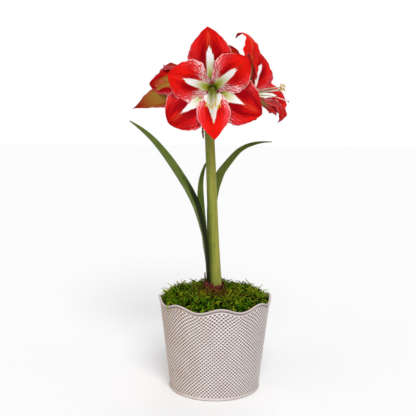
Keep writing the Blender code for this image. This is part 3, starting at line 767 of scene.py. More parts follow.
def pot_material(look):
    material, tree, shader = new_material("whitewashed_metal", roughness=0.5, specular_ior_level=0.3)
    height, relief = place_on(tree)[1:]
    x, y, z = object_place(tree)
    blotch = even_grain(tree, 38, 4)
    speck = even_grain(tree, 420, 2)
    brushed = grain(tree, x * 90, y * 90, z * 500, detail=2)
    hollow = 1 - (relief + (speck - 0.5) * 0.2).rise(-0.66, -0.12)
    raised = (relief + (speck - 0.5) * 0.2).rise(-0.05, 0.22)
    pinker = tuple(c * k for c, k in zip(look.paint, (0.94, 0.88, 0.88)))
    warm = mixed(tree, blotch.rise(0.35, 0.65), look.paint, pinker)
    # Painted shade on the pot's sides: darker and pinker on the -x side, and darker on the +x side
    warm = mixed(tree, (0.1 - x * 9 + (blotch - 0.5)).rise(0.0, 1.0) * 0.95, warm, (0.48, 0.34, 0.26))
    warm = mixed(tree, (x * 12 - 0.2).rise(0.0, 1.0) * 0.3, warm, (0.36, 0.31, 0.30))
    # The raised sheet between the dimples gets whiter paint and a painted highlight
    colour = mixed(tree, raised * 0.75, warm, look.highlight)
    # The bottom of each dimple gets darker metal and painted shade
    colour = mixed(tree, hollow * 0.95, colour, look.recess_metal_and_shade)
    worn = speck.rise(0.66, 0.74) * blotch.rise(0.5, 0.7) * 0.35
    colour = mixed(tree, worn, colour, (0.30, 0.24, 0.21))

    # The paint is rubbed off the rolled rim, and the top of its bead is painted lighter: a painted highlight
    rim = (height + (speck - 0.5) * 1.5).rise(142.6, 143.6)
    top = (height + (blotch - 0.5) * 1.2).rise(146.2, 147.2)
    rubbed_rim_and_lit_top = mixed(tree, top * 0.7, look.rim, shaded(look.rim, 1.9))
    colour = mixed(tree, rim, colour, rubbed_rim_and_lit_top)
    # Painted shade: dark lines in the groove under the rolled rim, under the foot's bead and in the crease
    # above it
    painted_shade_lines = height.rise(142.0, 142.8) * (1 - height.rise(143.2, 144.0)) + (1 - height.rise(0.4, 1.1)) * 0.7
    painted_shade_lines = painted_shade_lines + height.rise(4.1, 4.6) * (1 - height.rise(5.0, 5.6)) * 0.4
    colour = mixed(tree, painted_shade_lines.least(1.0) * 0.85, colour, (0.055, 0.040, 0.036))
    finish_material(tree, shader, colour, speck * 0.6 + brushed * 0.4, 0.15, 0.42 + blotch * 0.2)
    return material


def embossed_wall(look, material):
    """The dimpled wall: the turn, height, radius and relief at its points, and its faces."""
    pitch = TURN * (POT_BASE_R + 0.5 * POT_SLOPE * (EMBOSSED_LOW_Z + EMBOSSED_HIGH_Z)) / look.columns * MM
    tile = dimple_tile(pitch, look.depth)
    sheet = link("pot_wall", bpy.data.meshes.new("pot_wall"))
    run_tree(sheet, embossed_tree(), {
        "Tile": tile, "Columns": look.columns, "Rows": look.rows, "Pitch": pitch, "Material": material})
    remove(tile)
    flat = points_of(sheet)
    turn = flat[:, 0] / (look.columns * pitch) * TURN
    height = flat[:, 1] / (look.rows * pitch / 2) + 0.5
    height = height * (EMBOSSED_HIGH_Z - EMBOSSED_LOW_Z) + EMBOSSED_LOW_Z
    # The band's edges have no relief, so that they meet the rim and the foot
    inside_band = (height > EMBOSSED_LOW_Z + 0.01) & (height < EMBOSSED_HIGH_Z - 0.01)
    faces = [tuple(face.vertices) for face in sheet.data.polygons]
    remove(sheet)
    return dict(turn=turn, height=height, radius=POT_BASE_R + POT_SLOPE * height,
                relief=flat[:, 2] / MM * inside_band, faces=faces)


def rim_profile():
    """From the top of the embossed band over the rolled rim, and down the inside to the middle."""
    groove = [(POT_BASE_R + POT_SLOPE * z - sunk, z) for z, sunk in POT_GROOVE]
    bead = [(POT_RIM_R + POT_BEAD_R * math.cos(a), POT_RIM_Z + POT_BEAD_R * math.sin(a))
            for a in np.linspace(math.radians(-95), math.radians(190), 14)]
    inside = [(POT_BASE_R + POT_SLOPE * z - POT_WALL, z) for z in POT_INSIDE_Z]
    floor = [(radius, POT_WALL) for radius in (POT_BASE_R - POT_WALL - 1.5, POT_FLOOR_R, 0)]
    return groove + bead + inside + floor


def foot_profile():
    """From the lower edge of the embossed band over the foot's bead, and under it to the middle."""
    band = [(POT_BASE_R + POT_SLOPE * z, z) for z in (EMBOSSED_LOW_Z, FOOT_TOP_Z)]
    bead = [(FOOT_BEAD_R + FOOT_BEAD_OUT * math.cos(a), FOOT_BEAD_Z + FOOT_BEAD_UP * math.sin(a))
            for a in np.linspace(math.radians(75), math.radians(-75), 8)]
    return band + bead + [(POT_BASE_R - 0.3, 0.15), (POT_BASE_R - 2, 0), (POT_FLOOR_R, 0), (0, 0)]


def turned_ring(profile, columns):
    """A plain part of the pot: a profile of (radius, height) turned about its axis."""
    profile = np.array(profile)
    angle = np.linspace(0, TURN, columns, endpoint=False) - TURN / 2
    return dict(turn=np.tile(angle, len(profile)), radius=np.repeat(profile[:, 0], columns),
                height=np.repeat(profile[:, 1], columns), relief=np.zeros(len(profile) * columns),
                faces=grid_faces(len(profile), columns, closed=True))


def scalloped(ring, rim_rise):
    """A part of the pot in place: the scalloped rim slides along the cone, and the wall below follows."""
    turn, height = ring["turn"], ring["height"]
    share = np.clip((height - SCALLOP_LOW_Z) / (POT_RIM_Z - SCALLOP_LOW_Z), 0, 1)
    rise = rim_rise * share * share * (3 - 2 * share) * np.cos(SCALLOPS * (turn - SCALLOP_TURN))
    radius = ring["radius"] + ring["relief"] + POT_SLOPE * rise
    return dict(points=np.stack([radius * np.sin(turn), -radius * np.cos(turn), height + rise], axis=-1),
                faces=ring["faces"], slots=np.zeros(len(ring["faces"]), int),
                values=dict(place=np.stack([turn, height, ring["relief"]], axis=-1)))


def make_pot(look):
    material = pot_material(look)
    rings = [embossed_wall(look, material)]
    rings += [turned_ring(profile, 2 * look.columns) for profile in (rim_profile(), foot_profile())]
    pot = piece("dimpled_pot", [scalloped(ring, look.scallop / MM) for ring in rings], [material])
    weld(pot, 0.02)
    pot.data.shade_smooth()
    pot.data.set_sharp_from_angle(angle=POT_SHARP_EDGE)
    dress(pot, "pot", "pot")


# Moss and soil

def moss_height(x, y):
    """Height of the moss at a place, lumps included."""
    radius = max(math.hypot(x, y), MOSS_HOLE_R)
    across = MOSS_RIM_R - MOSS_HOLE_R
    dome = MOSS_EDGE_Z + MOSS_DOME * (1 - min((radius - MOSS_HOLE_R) / across, 1) ** 1.6)
    spot = Vector((x, y, 0)) / MOSS_LUMP_SIZE
    lump = noise.noise(spot) + 0.8 * noise.noise(spot * 2.0 + Vector((7, 3, 1)))
    fine = 0.35 * noise.noise(spot * 6.1) + 0.25 * noise.noise(spot * 13.7)
    fade = min((MOSS_RIM_R - radius) / 12 + 0.35, (radius - MOSS_HOLE_R) / 16 + 0.3, 1)
    # It is heaped up towards the back of the pot
    heap = MOSS_HEAP * max(y / MOSS_RIM_R + 0.1, 0) * min((radius - MOSS_HOLE_R) / 40, 1)
    collar = 4.5 * math.exp(-(radius - MOSS_HOLE_R) / 10)
    return dome + heap + collar + MOSS_LUMP * (lump + fine) * fade


def moss_material(name, tip, base, look):
    """Moss whose sprigs run from a base colour to a tip colour, each with its own shade; the dark bases are
    painted shade.
    """
    material, tree, shader = new_material(name, roughness=0.9, specular_ior_level=0.02)
    shade = Field(tree, attribute(tree, "shade").outputs["Fac"])
    tipward = Field(tree, attribute(tree, "tipward").outputs["Fac"])
    x, y = object_place(tree)[:2]
    patch = even_grain(tree, 34, 2)
    clump = even_grain(tree, 125, 1)
    speck = even_grain(tree, 900, 2)
    # Painted shade and light: dark towards each sprig's base and in the gaps between clumps, lit towards its
    # tip
    lit = (shade * 0.6 + clump * 2.1 + patch * 0.5 + tipward * 0.7 - 1.68).rise(0.0, 0.75)
    fresh = mixed(tree, patch.rise(0.5, 0.62) * 0.5, tip, look.yellow)
    colour = mixed(tree, lit, base, fresh)
    colour = mixed(tree, speck.rise(0.6, 0.8) * 0.4, colour, look.brown)
    near = (x * x + (y + 0.012) * (y + 0.012)).calc("SQRT") + (patch - 0.5) * 0.03
    colour = mixed(tree, (1 - near.rise(0.014, 0.036)) * 0.65, colour, look.brown)
    finish_material(tree, shader, colour, speck, 0.3)
    return material


def leaflet_faces(first, hand):
    """The faces of a leaflet whose four points start at first, on the side that hand gives."""
    return [[first + corner for corner in (face if hand > 0 else face[::-1])] for face in LEAFLET_FACES]


def sprig(name, length, width, pairs, lift):
    """One sprig: a thin stem that rises and droops, with pairs of pointed leaflets."""
    points, faces = [], []
    steps = 3
    for i in range(steps + 1):
        share = i / steps
        centre = Vector((length * share, 0, lift * math.sin(share * 2.2)))
        thick = 0.045 * length * (1 - 0.7 * share) + 0.02 * length
        points += [centre + Vector((0, thick * math.cos(a), thick * math.sin(a))) for a in (0.5, 2.6, 4.7)]
    for i in range(steps):
        for j in range(3):
            faces.append((3 * i + j, 3 * i + (j + 1) % 3, 3 * i + 3 + (j + 1) % 3, 3 * i + 3 + j))
    faces += [(2, 1, 0), (3 * steps, 3 * steps + 1, 3 * steps + 2)]
    for i in range(pairs):
        share = (i + 0.6) / pairs
        centre = Vector((length * share, 0, lift * math.sin(share * 2.2)))
        reach = width * math.sin(math.pi * min(share * 0.85 + 0.15, 1) ** 0.8) ** 0.7
        for side in (-1, 1):
            out = Vector((0.75, side, 0.35 * (-1) ** i)).normalized()
            thick = 0.1 * width
            first = len(points)
            points += [centre + Vector((-1.6 * thick, 0, 0)), centre + Vector((1.6 * thick, 0, 0)),
                       centre + out * reach * 0.4 + Vector((0, 0, 1.8 * thick)), centre + out * reach]
            faces += leaflet_faces(first, side)
    mesh = bpy.data.meshes.new(name)
    mesh.from_pydata([tuple(point) for point in points], [], faces)
    tipward = [min(max(point.x / length, 0), 1) for point in points]
    mesh.attributes.new("tipward", "FLOAT", "POINT").data.foreach_set("value", tipward)
    return link(name, mesh)


def scatter_tree():
    """Sprigs scattered over a surface in clumps, each turned, tilted and sized at random."""
    tree, given, end = geometry_tree("Scattered sprigs", [
        ("Sprig", "Object"), ("Density", "Float"), ("Inner Radius", "Float"), ("Outer Radius", "Float"),
        ("Tilt", "Float"), ("Seed", "Int"), ("Material", "Material")])
    x, y = position(tree)[:2]
    radius = (x * x + y * y).calc("SQRT")
    ring = radius.rise(given["Inner Radius"] - 0.006, given["Inner Radius"])
    ring = ring * (1 - radius.rise(given["Outer Radius"], given["Outer Radius"] + 0.004))
    clump = grain(tree, x * 55, y * 55, given["Seed"] * 3.7, detail=1).rise(0.3, 0.6) * 0.8 + 0.2
    points = chain(tree, "GeometryNodeDistributePointsOnFaces", given["Geometry"].socket,
                   density=given["Density"] * ring * clump, seed=given["Seed"])

    def draw(low, high, step):
        node = tree.nodes.new("FunctionNodeRandomValue")
        node.data_type = "FLOAT"
        sockets = [socket for socket in node.inputs if socket.enabled]
        for socket, value in zip(sockets, (low, high)):
            plug(tree, socket, value)
        plug(tree, node.inputs["Seed"], given["Seed"] + step)
        return Field(tree, next(output for output in node.outputs if output.enabled))

    spin = tree.nodes.new("FunctionNodeEulerToRotation")
    plug(tree, spin.inputs[0], vector(tree, draw(-0.5, 0.5, 11), draw(-0.7, 0.4, 12) * given["Tilt"],
                                      draw(0.0, TURN, 13)))
    turned = tree.nodes.new("FunctionNodeRotateRotation")
    turned.rotation_space = "LOCAL"
    plug(tree, turned.inputs[0], Field(tree, points.outputs["Rotation"]))
    plug(tree, turned.inputs[1], Field(tree, spin.outputs[0]))
    placed = copies(tree, points.outputs["Points"], given["Sprig"],
                    rotation=Field(tree, turned.outputs[0]), scale=draw(0.45, 1.2, 14))
    named = tree.nodes.new("GeometryNodeStoreNamedAttribute")
    named.data_type = "FLOAT"
    named.domain = "INSTANCE"
    tree.links.new(placed, named.inputs["Geometry"])
    named.inputs["Name"].default_value = "shade"
    value = next(socket for socket in named.inputs if socket.name == "Value" and socket.enabled)
    plug(tree, value, draw(0.0, 1.0, 15))
    return end_tree(tree, named.outputs[0], given["Material"], end)


def moss_top():
    """The top surface of the moss, as an open part."""
    points = []
    for share in np.linspace(0, 1, MOSS_RINGS):
        radius = MOSS_HOLE_R + (MOSS_RIM_R - MOSS_HOLE_R) * share
        for turn in np.linspace(0, TURN, MOSS_COLUMNS, endpoint=False):
            x, y = radius * math.cos(turn), radius * math.sin(turn)
            points.append((x + BULB_X * (1 - share), y, moss_height(x, y)))
    faces = grid_faces(MOSS_RINGS, MOSS_COLUMNS, closed=True)
    return dict(points=np.array(points), faces=faces, slots=np.zeros(len(faces), int), values={})


def moss_sides(top):
    """The foot and the two walls that close the mat under its top."""
    outer, inner = top["points"][-MOSS_COLUMNS:], top["points"][:MOSS_COLUMNS]
    low_outer = outer * (1, 1, 0) * (1 - POT_SLOPE * 0.1) + (0, 0, MOSS_FOOT_Z)
    low_inner = inner * (1, 1, 0) + (0, 0, MOSS_FOOT_Z)
    faces = grid_faces(4, MOSS_COLUMNS, closed=True)
    return dict(points=np.concatenate([outer, low_outer, low_inner, inner]), faces=faces,
                slots=np.zeros(len(faces), int), values={})


def frond(line, width, pairs):
    """A loose strand of moss along a line, with pairs of small leaflets."""
    line = np.array(line, float)
    stem = swept_part(line, (0.45, 0.4, 0.25), 5 * len(line), 5)
    points, faces = [stem["points"]], list(stem["faces"])
    count = len(stem["points"])
    share = stem["values"]["place"][:, 1]
    for i in range(pairs):
        along = (i + 0.6) / pairs
        foot, ahead = between(np.array([along, min(along + 0.05, 1)]), line)
        ahead = (ahead - foot) / np.linalg.norm(ahead - foot) if along < 0.95 else np.array((0, 0, 1.0))
        aside = np.cross(ahead, (0.2, 0.9, 0.4))
        aside /= np.linalg.norm(aside)
        reach = width * math.sin(math.pi * (0.2 + 0.75 * along))
        for hand in (-1, 1):
            tip = foot + (0.8 * ahead + hand * aside) * reach
            up = 0.35 * np.cross(ahead, aside)
            points.append(np.array([foot - 0.5 * ahead, foot + 0.5 * ahead, (foot + tip) / 2 + up, tip]))
            faces += leaflet_faces(count, hand)
            share = np.append(share, [along] * 4)
            count += 4
    spread = np.repeat(share[:, None], 3, axis=1)
    return dict(points=np.concatenate(points), faces=faces, slots=np.zeros(len(faces), int),
                values=dict(tipward=spread, shade=0 * spread + 0.6))


def loose_line(bearing, start, rise, swing):
    """The line of a loose strand, which rises over the rim and swings a little."""
    turn = math.radians(bearing)
    line = []
    for step in range(5):
        radius = start + MOSS_LOOSE_STEP * step
        angle = turn + swing * step
        line.append((radius * math.cos(angle), radius * math.sin(angle),
                     MOSS_LOOSE_Z + rise * (step - 0.12 * step * step)))
    return line


def keep_inside(obj):
    """Presses sprigs that would go through the pot's wall or the bulb's neck flat against them."""
    spots = points_of(obj) / MM
    radius = np.hypot(spots[:, 0], spots[:, 1])
    turn = np.arctan2(spots[:, 0], -spots[:, 1])
    rim = POT_RIM_Z + SCALLOP_RISE * np.cos(SCALLOPS * (turn - SCALLOP_TURN)) + 2
    wall = POT_BASE_R - POT_WALL - 0.6 + POT_SLOPE * spots[:, 2]
    above = np.clip((spots[:, 2] - rim) / 3, 0, 1)
    reach = np.minimum(radius, wall + 6 * above)
    spots[:, :2] *= (reach / np.maximum(radius, 1))[:, None]
    aside = spots[:, 0] - BULB_X
    near = np.maximum(np.hypot(aside, spots[:, 1]), 1)
    push = np.maximum(near, NECK_R + 0.8) / near
    spots[:, 0] = BULB_X + aside * push
    spots[:, 1] *= push
    obj.data.vertices.foreach_set("co", (spots * MM).ravel())


def make_sprigs(look, surface):
    """Four kinds of sprig on the moss: density share, reach from the bulb in mm, form and colours.

    A form is its length, width and lift as shares of a full-grown sprig, and its pairs of leaflets.
    """
    tree = scatter_tree()
    # The base colours are darker than the tips: painted shade low in the moss
    kinds = {
        "moss_fronds": dict(form=(1, 0.21, 0.25), pairs=6, density=0.34, ring=(26, 83), tilt=0.7,
                            tip=look.bright, base=look.deep),
        "moss_tufts": dict(form=(0.7, 0.22, 0.4), pairs=5, density=0.40, ring=(20, 83), tilt=1.0,
                           tip=(0.06, 0.17, 0.005), base=look.deep),
        "moss_strands": dict(form=(1.25, 0.12, 0.3), pairs=6, density=0.22, ring=(24, 83), tilt=0.6,
                             tip=look.yellow, base=(0.04, 0.06, 0.004)),
        "moss_dry": dict(form=(0.8, 0.17, 0.25), pairs=5, density=0.4, ring=(17, 46), tilt=0.6,
                         tip=(0.24, 0.19, 0.02), base=look.brown),
    }
    for seed, (name, kind) in enumerate(kinds.items(), 3):
        length, width, lift = (share * look.length for share in kind["form"])
        form = sprig(name + "_form", length, width, kind["pairs"], lift)
        material = moss_material(name, kind["tip"], kind["base"], look)
        sprigs = link(name, surface.data.copy())
        run_tree(sprigs, tree, {
            "Sprig": form, "Density": look.density * kind["density"], "Inner Radius": kind["ring"][0] * MM,
            "Outer Radius": kind["ring"][1] * MM, "Tilt": kind["tilt"], "Seed": seed, "Material": material})
        remove(form)
        keep_inside(sprigs)
        dress(sprigs, "moss")


def make_moss(look):
    # The mat under the sprigs is painted nearly black: painted shade under the sprigs
    understorey = moss_material("moss_understorey", look.deep, shaded(look.deep, 0.3), look)
    top = moss_top()
    surface = piece("moss_surface", [top], [understorey])
    mat = piece("moss_mat", [top, moss_sides(top)], [understorey])
    weld(mat)
    mat.data.shade_smooth()
    dress(mat, "moss", "moss")
    make_sprigs(look, surface)
    remove(surface)

    # Loose strands reach past the rim at both sides, and one hangs over it
    strands = [frond(loose_line(*strand), 2.6, 9) for strand in MOSS_LOOSE]
    strands.append(frond(MOSS_HANGING, 2.2, 14))
    loose = piece("moss_loose", strands, [moss_material("moss_loose", look.bright, look.yellow, look)])
    loose.data.shade_flat()
    dress(loose, "moss")


def soil_material():
    material, tree, shader = new_material("potting_soil", roughness=0.95)
    crumb = even_grain(tree, 260, 4)
    colour = mixed(tree, crumb.rise(0.35, 0.7), (0.02, 0.012, 0.008), (0.10, 0.065, 0.04))
    finish_material(tree, shader, colour, crumb, 1.0)
    return material


# The bulb

def skin_material(name, light, dark):
    """Dry papery skin with lengthwise fibres."""
    material, tree, shader = new_material(name, roughness=0.6, specular_ior_level=0.15)
    x, y, z = object_place(tree)
    around, along = place_on(tree)[:2]
    fibre = grain(tree, around * 60, along * 4, 0.0, detail=4)
    blotch = grain(tree, x * 260, y * 260, z * 300, detail=4)
    colour = mixed(tree, (fibre * 0.4 + blotch * 0.8).rise(0.52, 0.80), dark, light)
    finish_material(tree, shader, colour, fibre * 0.6 + blotch * 0.4, 0.5)
    return material


def neck_ripple(radius, height, turn):
    """Lengthwise wrinkles, and a ragged top edge on the neck."""
    wrinkle = 0.22 * np.sin(23 * turn + height / 9) + 0.16 * np.sin(41 * turn - height / 13)
    near_top = np.clip((height - 154) / 7, 0, 1)
    ragged = 0.7 * np.sin(5 * turn) + 0.5 * np.sin(8 * turn + 1) + 0.45 * np.sin(19 * turn)
    return radius + wrinkle * np.clip(radius / 10, 0, 1) * (1 - 0.5 * near_top), height + ragged * near_top


def bulb_part():
    """The bulb with the pocket in its neck."""
    shares, places = np.linspace(0, 1, 90), np.linspace(0, 1, len(BULB_SIDE))
    side = np.column_stack([np.interp(shares, places, column) for column in np.array(BULB_SIDE, float).T])
    return lathe_part(POCKET_LIP + [tuple(place) for place in side], 96, BULB_X, neck_ripple)


def root_part(i):
    """A root that runs out and down from the foot of the bulb."""
    turn = TURN * (i + 0.3 * math.sin(5 * i)) / ROOT_COUNT
    reach = 34 + 7 * math.sin(3 * i + 1)
    drop = 34 + 6 * math.cos(2 * i)
    swirl = 0.25 * math.sin(4 * i)
    line = []
    for share in (0, 0.25, 0.55, 0.8, 1):
        radius = ROOT_START_R + reach * share ** 1.2
        angle = turn + swirl * share
        line.append((BULB_X + radius * math.cos(angle), radius * math.sin(angle), ROOT_TOP_Z - drop * share))
    return swept_part(line, (ROOT_R, 0.9 * ROOT_R, 0.6 * ROOT_R), 24, 10)


def scale_shape(turn, reach, high, radius):
    """A ragged papery scale round the collar, which leans on the one inside it."""
    def shape(along, across):
        angle = turn + across * reach
        tear = SCALE_ROUGH * (np.sin(9 * angle + turn) + 0.6 * np.sin(21 * angle))
        height = SCALE_LOW_Z + (high + tear * along - SCALE_LOW_Z) * along
        out = radius + SCALE_LEAN * np.sin(2.2 * along) + 0.25 * np.sin(14 * angle + 3 * along) * along
        out = out + 1.3 * np.exp(-((np.cos(angle) + 1) / 0.35) ** 2) * along
        points = np.stack([BULB_X + out * np.cos(angle), out * np.sin(angle), height], axis=-1)
        return points, across * reach * radius
    return shape


def torn_strip_shape(along, across):
    """A strip of dry paper that twists as it rises, until it faces the front."""
    angle = math.radians(TORN_BEARING) + 0.02 * np.sin(9 * along)
    twist = 1.3 * along
    wide = (2.4 - 1.2 * along) * across
    radius = (NECK_R + POCKET_R) / 2 + 1.3 * along + 0.4 * np.sin(5 * along) + wide * np.sin(twist)
    aside = wide * np.cos(twist)
    height = NECK_TOP_Z - 4 + TORN_LENGTH * along + 1.2 * np.sin(7 * across) * along
    points = np.stack([BULB_X + radius * np.cos(angle) - aside * np.sin(angle),
                       radius * np.sin(angle) + aside * np.cos(angle), height], axis=-1)
    return points, across * 2


def paper_thickness(along, across):
    return 0.5 - 0.2 * along


def make_bulb(look):
    skin = skin_material("bulb_skin", look.skin, look.dry)
    collar = skin_material("bulb_collar", look.pink, look.skin)
    paper = skin_material("torn_paper", (0.30, 0.16, 0.08), look.dry)
    bulb = piece("bulb_body", [bulb_part()] + [root_part(i) for i in range(ROOT_COUNT)], [skin])
    weld(bulb)
    bulb.data.shade_smooth()
    dress(bulb, "bulb", "bulb")

    # The last three scales stand outside the first three
    scales = []
    for i, (bearing, reach, high) in enumerate(COLLAR_SCALES):
        shape = scale_shape(math.radians(bearing), math.radians(reach), high, SCALE_R + 0.35 * (i // 3))
        scales.append(sheet_part(shape, 14, 48, paper_thickness))
    dress(piece("collar_scales", scales, [collar, collar]), "bulb")
    strip = sheet_part(torn_strip_shape, 24, 9, paper_thickness)
    dress(piece("torn_strip", [strip], [paper, paper]), "bulb")


# Leaves and bracts

def blade_shape(line, half_width, channel, turn, side, wave):
    """A strap along a line, channelled across; its hollow side faces where the turn puts it."""
    share = np.linspace(0, 1, 200)
    fine = between(share, line)
    ahead = np.gradient(fine, axis=0)
    ahead /= np.linalg.norm(ahead, axis=1)[:, None]

    def at(along, values):
        return np.stack([np.interp(along, share, values[:, i]) for i in range(3)], axis=-1)

    def shape(along, across):
        middle, forward = at(along, fine), at(along, ahead)
        hollow = side * np.stack([forward[:, 2], 0 * along, -forward[:, 0]], axis=-1)
        hollow /= np.linalg.norm(hollow, axis=1)[:, None]
        front = np.cross(forward, hollow)
        front *= np.where(front[:, 1] > 0, -1, 1)[:, None]
        front /= np.linalg.norm(front, axis=1)[:, None]
        angle = np.radians(between(along, turn))[:, None]
        width = np.cos(angle) * front + np.sin(angle) * hollow
        normal = np.cos(angle) * hollow - np.sin(angle) * front
        half = between(along, half_width)
        aside, rise = curl(across * half, between(along, channel))
        rise = rise - 0.35 * np.exp(-(across / 0.12) ** 2) * np.clip(half / 6, 0, 1)
        rise = rise + wave * np.abs(across) ** 3 * np.sin(TURN * 4.3 * along + np.sign(across))
        return middle + aside[:, None] * width + rise[:, None] * normal, aside
    return shape


def leaf_material(look):
    material, tree, shader = new_material("strap_leaf", roughness=0.45, specular_ior_level=0.06)
    across, along = place_on(tree)[:2]
    x, y, z = object_place(tree)
    streak = grain(tree, across * 6, along * 2.5, 0.0, detail=4)
    mottle = grain(tree, x * 120, y * 120, z * 60, detail=3)
    veins = (across * 13).lines().rise(0.55, 1.0)
    rib = 1 - across.size().rise(0.02, 0.12)
    # The foot of each blade is painted dark: painted shade
    foot = 1 - (along + (streak - 0.5) * 0.1).rise(0.05, 0.24)
    edge = across.size().rise(0.93, 1.0)
    colour = mixed(tree, (streak * 0.7 + mottle * 0.5).rise(0.45, 0.85), look.green, look.light)
    colour = mixed(tree, veins * 0.22 + rib * 0.3, colour, look.light)
    colour = mixed(tree, foot * 0.75, colour, look.dark)
    colour = mixed(tree, edge * 0.4, colour, look.light)
    # The sunlit right leaf is painted lighter, a painted light; the folded left leaf's outer edge is dry, and
    # inside its fold it gets painted shade
    folded, sunlit = place_on(tree, "kind")[:2]
    colour = mixed(tree, sunlit * along.rise(0.15, 0.4) * 0.5, colour, look.light)
    dry = (1 - across.rise(-0.3, 0.25)) * (1 - along.rise(0.2, 0.6))
    colour = mixed(tree, dry * folded * 0.75, colour, (0.40, 0.32, 0.15))
    upper = (along - 0.4).most(0)
    hollow = (across - upper * 1.2 + (streak - 0.5) * 0.2).rise(-0.15, 0.25) * (1 - along.rise(0.54, 0.76))
    colour = mixed(tree, hollow * folded * 0.96, colour, (0.010, 0.013, 0.003))
    finish_material(tree, shader, colour, veins * 0.5 + streak * 0.5, 0.35, 0.34 + streak * 0.2)
    return material


def bract_material(look):
    material, tree, shader = new_material("papery_bract", roughness=0.75)
    across, along = place_on(tree)[:2]
    fibre = grain(tree, across * 9, along * 2, 0.0, detail=4)
    colour = mixed(tree, fibre.rise(0.35, 0.7), shaded(look.bract, 0.5), look.bract)
    colour = mixed(tree, along.rise(0.7, 1.0) * 0.5, colour, (0.45, 0.27, 0.13))
    finish_material(tree, shader, colour, (across * 7).lines() * 0.5 + fibre * 0.5, 0.35)
    return material


def make_leaves(look, stalk):
    green, paper = leaf_material(look), bract_material(stalk)
    full = look.thickness / MM

    def leaf_thickness(along, across):
        return full * (1 - 0.55 * np.abs(across) ** 2)

    def bract_thickness(along, across):
        return 0.7 - 0.3 * np.abs(across)

    for name, data in BLADES.items():
        if name.startswith("leaf"):
            # The left leaf is folded at its foot and gets painted shade inside the fold, and the right leaf
            # is the sunlit one, painted lighter
            kind = (name == "leaf_left", name == "leaf_right", 0)
            part = sheet_part(blade_shape(**data, wave=0.3), 150, 25, leaf_thickness, kind)
            dress(piece(name + "_blade", [part], [green, green]), "leaf", name)
        else:
            part = sheet_part(blade_shape(**data, wave=0.5), 50, 17, bract_thickness)
            dress(piece(name + "_bract", [part], [paper, paper]), "bract", name)


# The stalk

def stalk_material(look):
    material, tree, shader = new_material("stalk_skin", roughness=0.42, specular_ior_level=0.2)
    x, y, z = object_place(tree)
    streak = grain(tree, x * 330, y * 330, z * 9, detail=4)
    mottle = grain(tree, x * 210, y * 210, z * 90, detail=3)
    # The stalk leans a little, and its sunny side is painted yellower, a painted light, and its other side
    # darker green, a painted shade
    sunny = (x + (z - 0.15) * 0.047) * 20
    shade = (streak * 0.75 + mottle * 0.45 + sunny - 0.06).rise(0.25, 0.8)
    colour = mixed(tree, shade, look.green, look.yellow)
    colour = mixed(tree, mottle.rise(0.62, 0.75) * 0.35, colour, (0.06, 0.09, 0.02))
    foot = 1 - z.rise(0.158, 0.175)
    colour = mixed(tree, foot * 0.5, colour, (0.30, 0.16, 0.06))
    finish_material(tree, shader, colour, streak * 0.7 + mottle * 0.3, 0.3, 0.36 + mottle * 0.18)
    return material


def stalk_ridges(share, angle):
    return 0.16 * np.sin(13 * angle + 2 * share) + 0.1 * np.sin(29 * angle) + 0.12 * np.sin(7 * share + angle)


def bloom_stem(bloom, top):
    """The stem of a bloom, curved from the stalk's top to the foot of the bloom, and its ovary."""
    out = np.array(Vector(bloom["faces"]).normalized())
    foot = np.array(bloom["foot"]) - out * SEAT_GAP
    neck = foot - out * OVARY_LENGTH
    start = top - (0, 0, 2)
    leave = start + np.array(Vector(bloom["leaves_umbel"]).normalized()) * PEDICEL_REACH
    arrive = neck - out * 0.6 * PEDICEL_REACH
    s = np.linspace(0, 1, 9)[:, None]
    line = start * (1 - s) ** 3 + 3 * leave * s * (1 - s) ** 2 + 3 * arrive * s * s * (1 - s) + neck * s ** 3
    line = np.concatenate([line, [neck + out * 3]])
    ovary = [neck + out * share * OVARY_LENGTH for share in OVARY_SHARES]
    return [swept_part(line, PEDICEL_RADII, 40, 24, lobes=2, lobe_depth=0.06),
            swept_part(ovary, OVARY_RADII, 26, 36, lobes=3, lobe_depth=0.09)]


def make_scape(look):
    top = np.array(SCAPE_LINE[-1], float)
    crown = [top + (0, 0, h) for h in (-7, -3.5, 0, 3, 4.6)]
    parts = [swept_part(SCAPE_LINE, SCAPE_RADII, 160, 56, wrinkle=stalk_ridges),
             swept_part(crown, (7.6, 8.7, 8.8, 7, 3), 14, 40)]
    for bloom in BLOOMS.values():
        parts += bloom_stem(bloom, top)
    scape = piece("stalk", parts, [stalk_material(look)])
    dress(scape, "stalk", "scape")


# Blooms

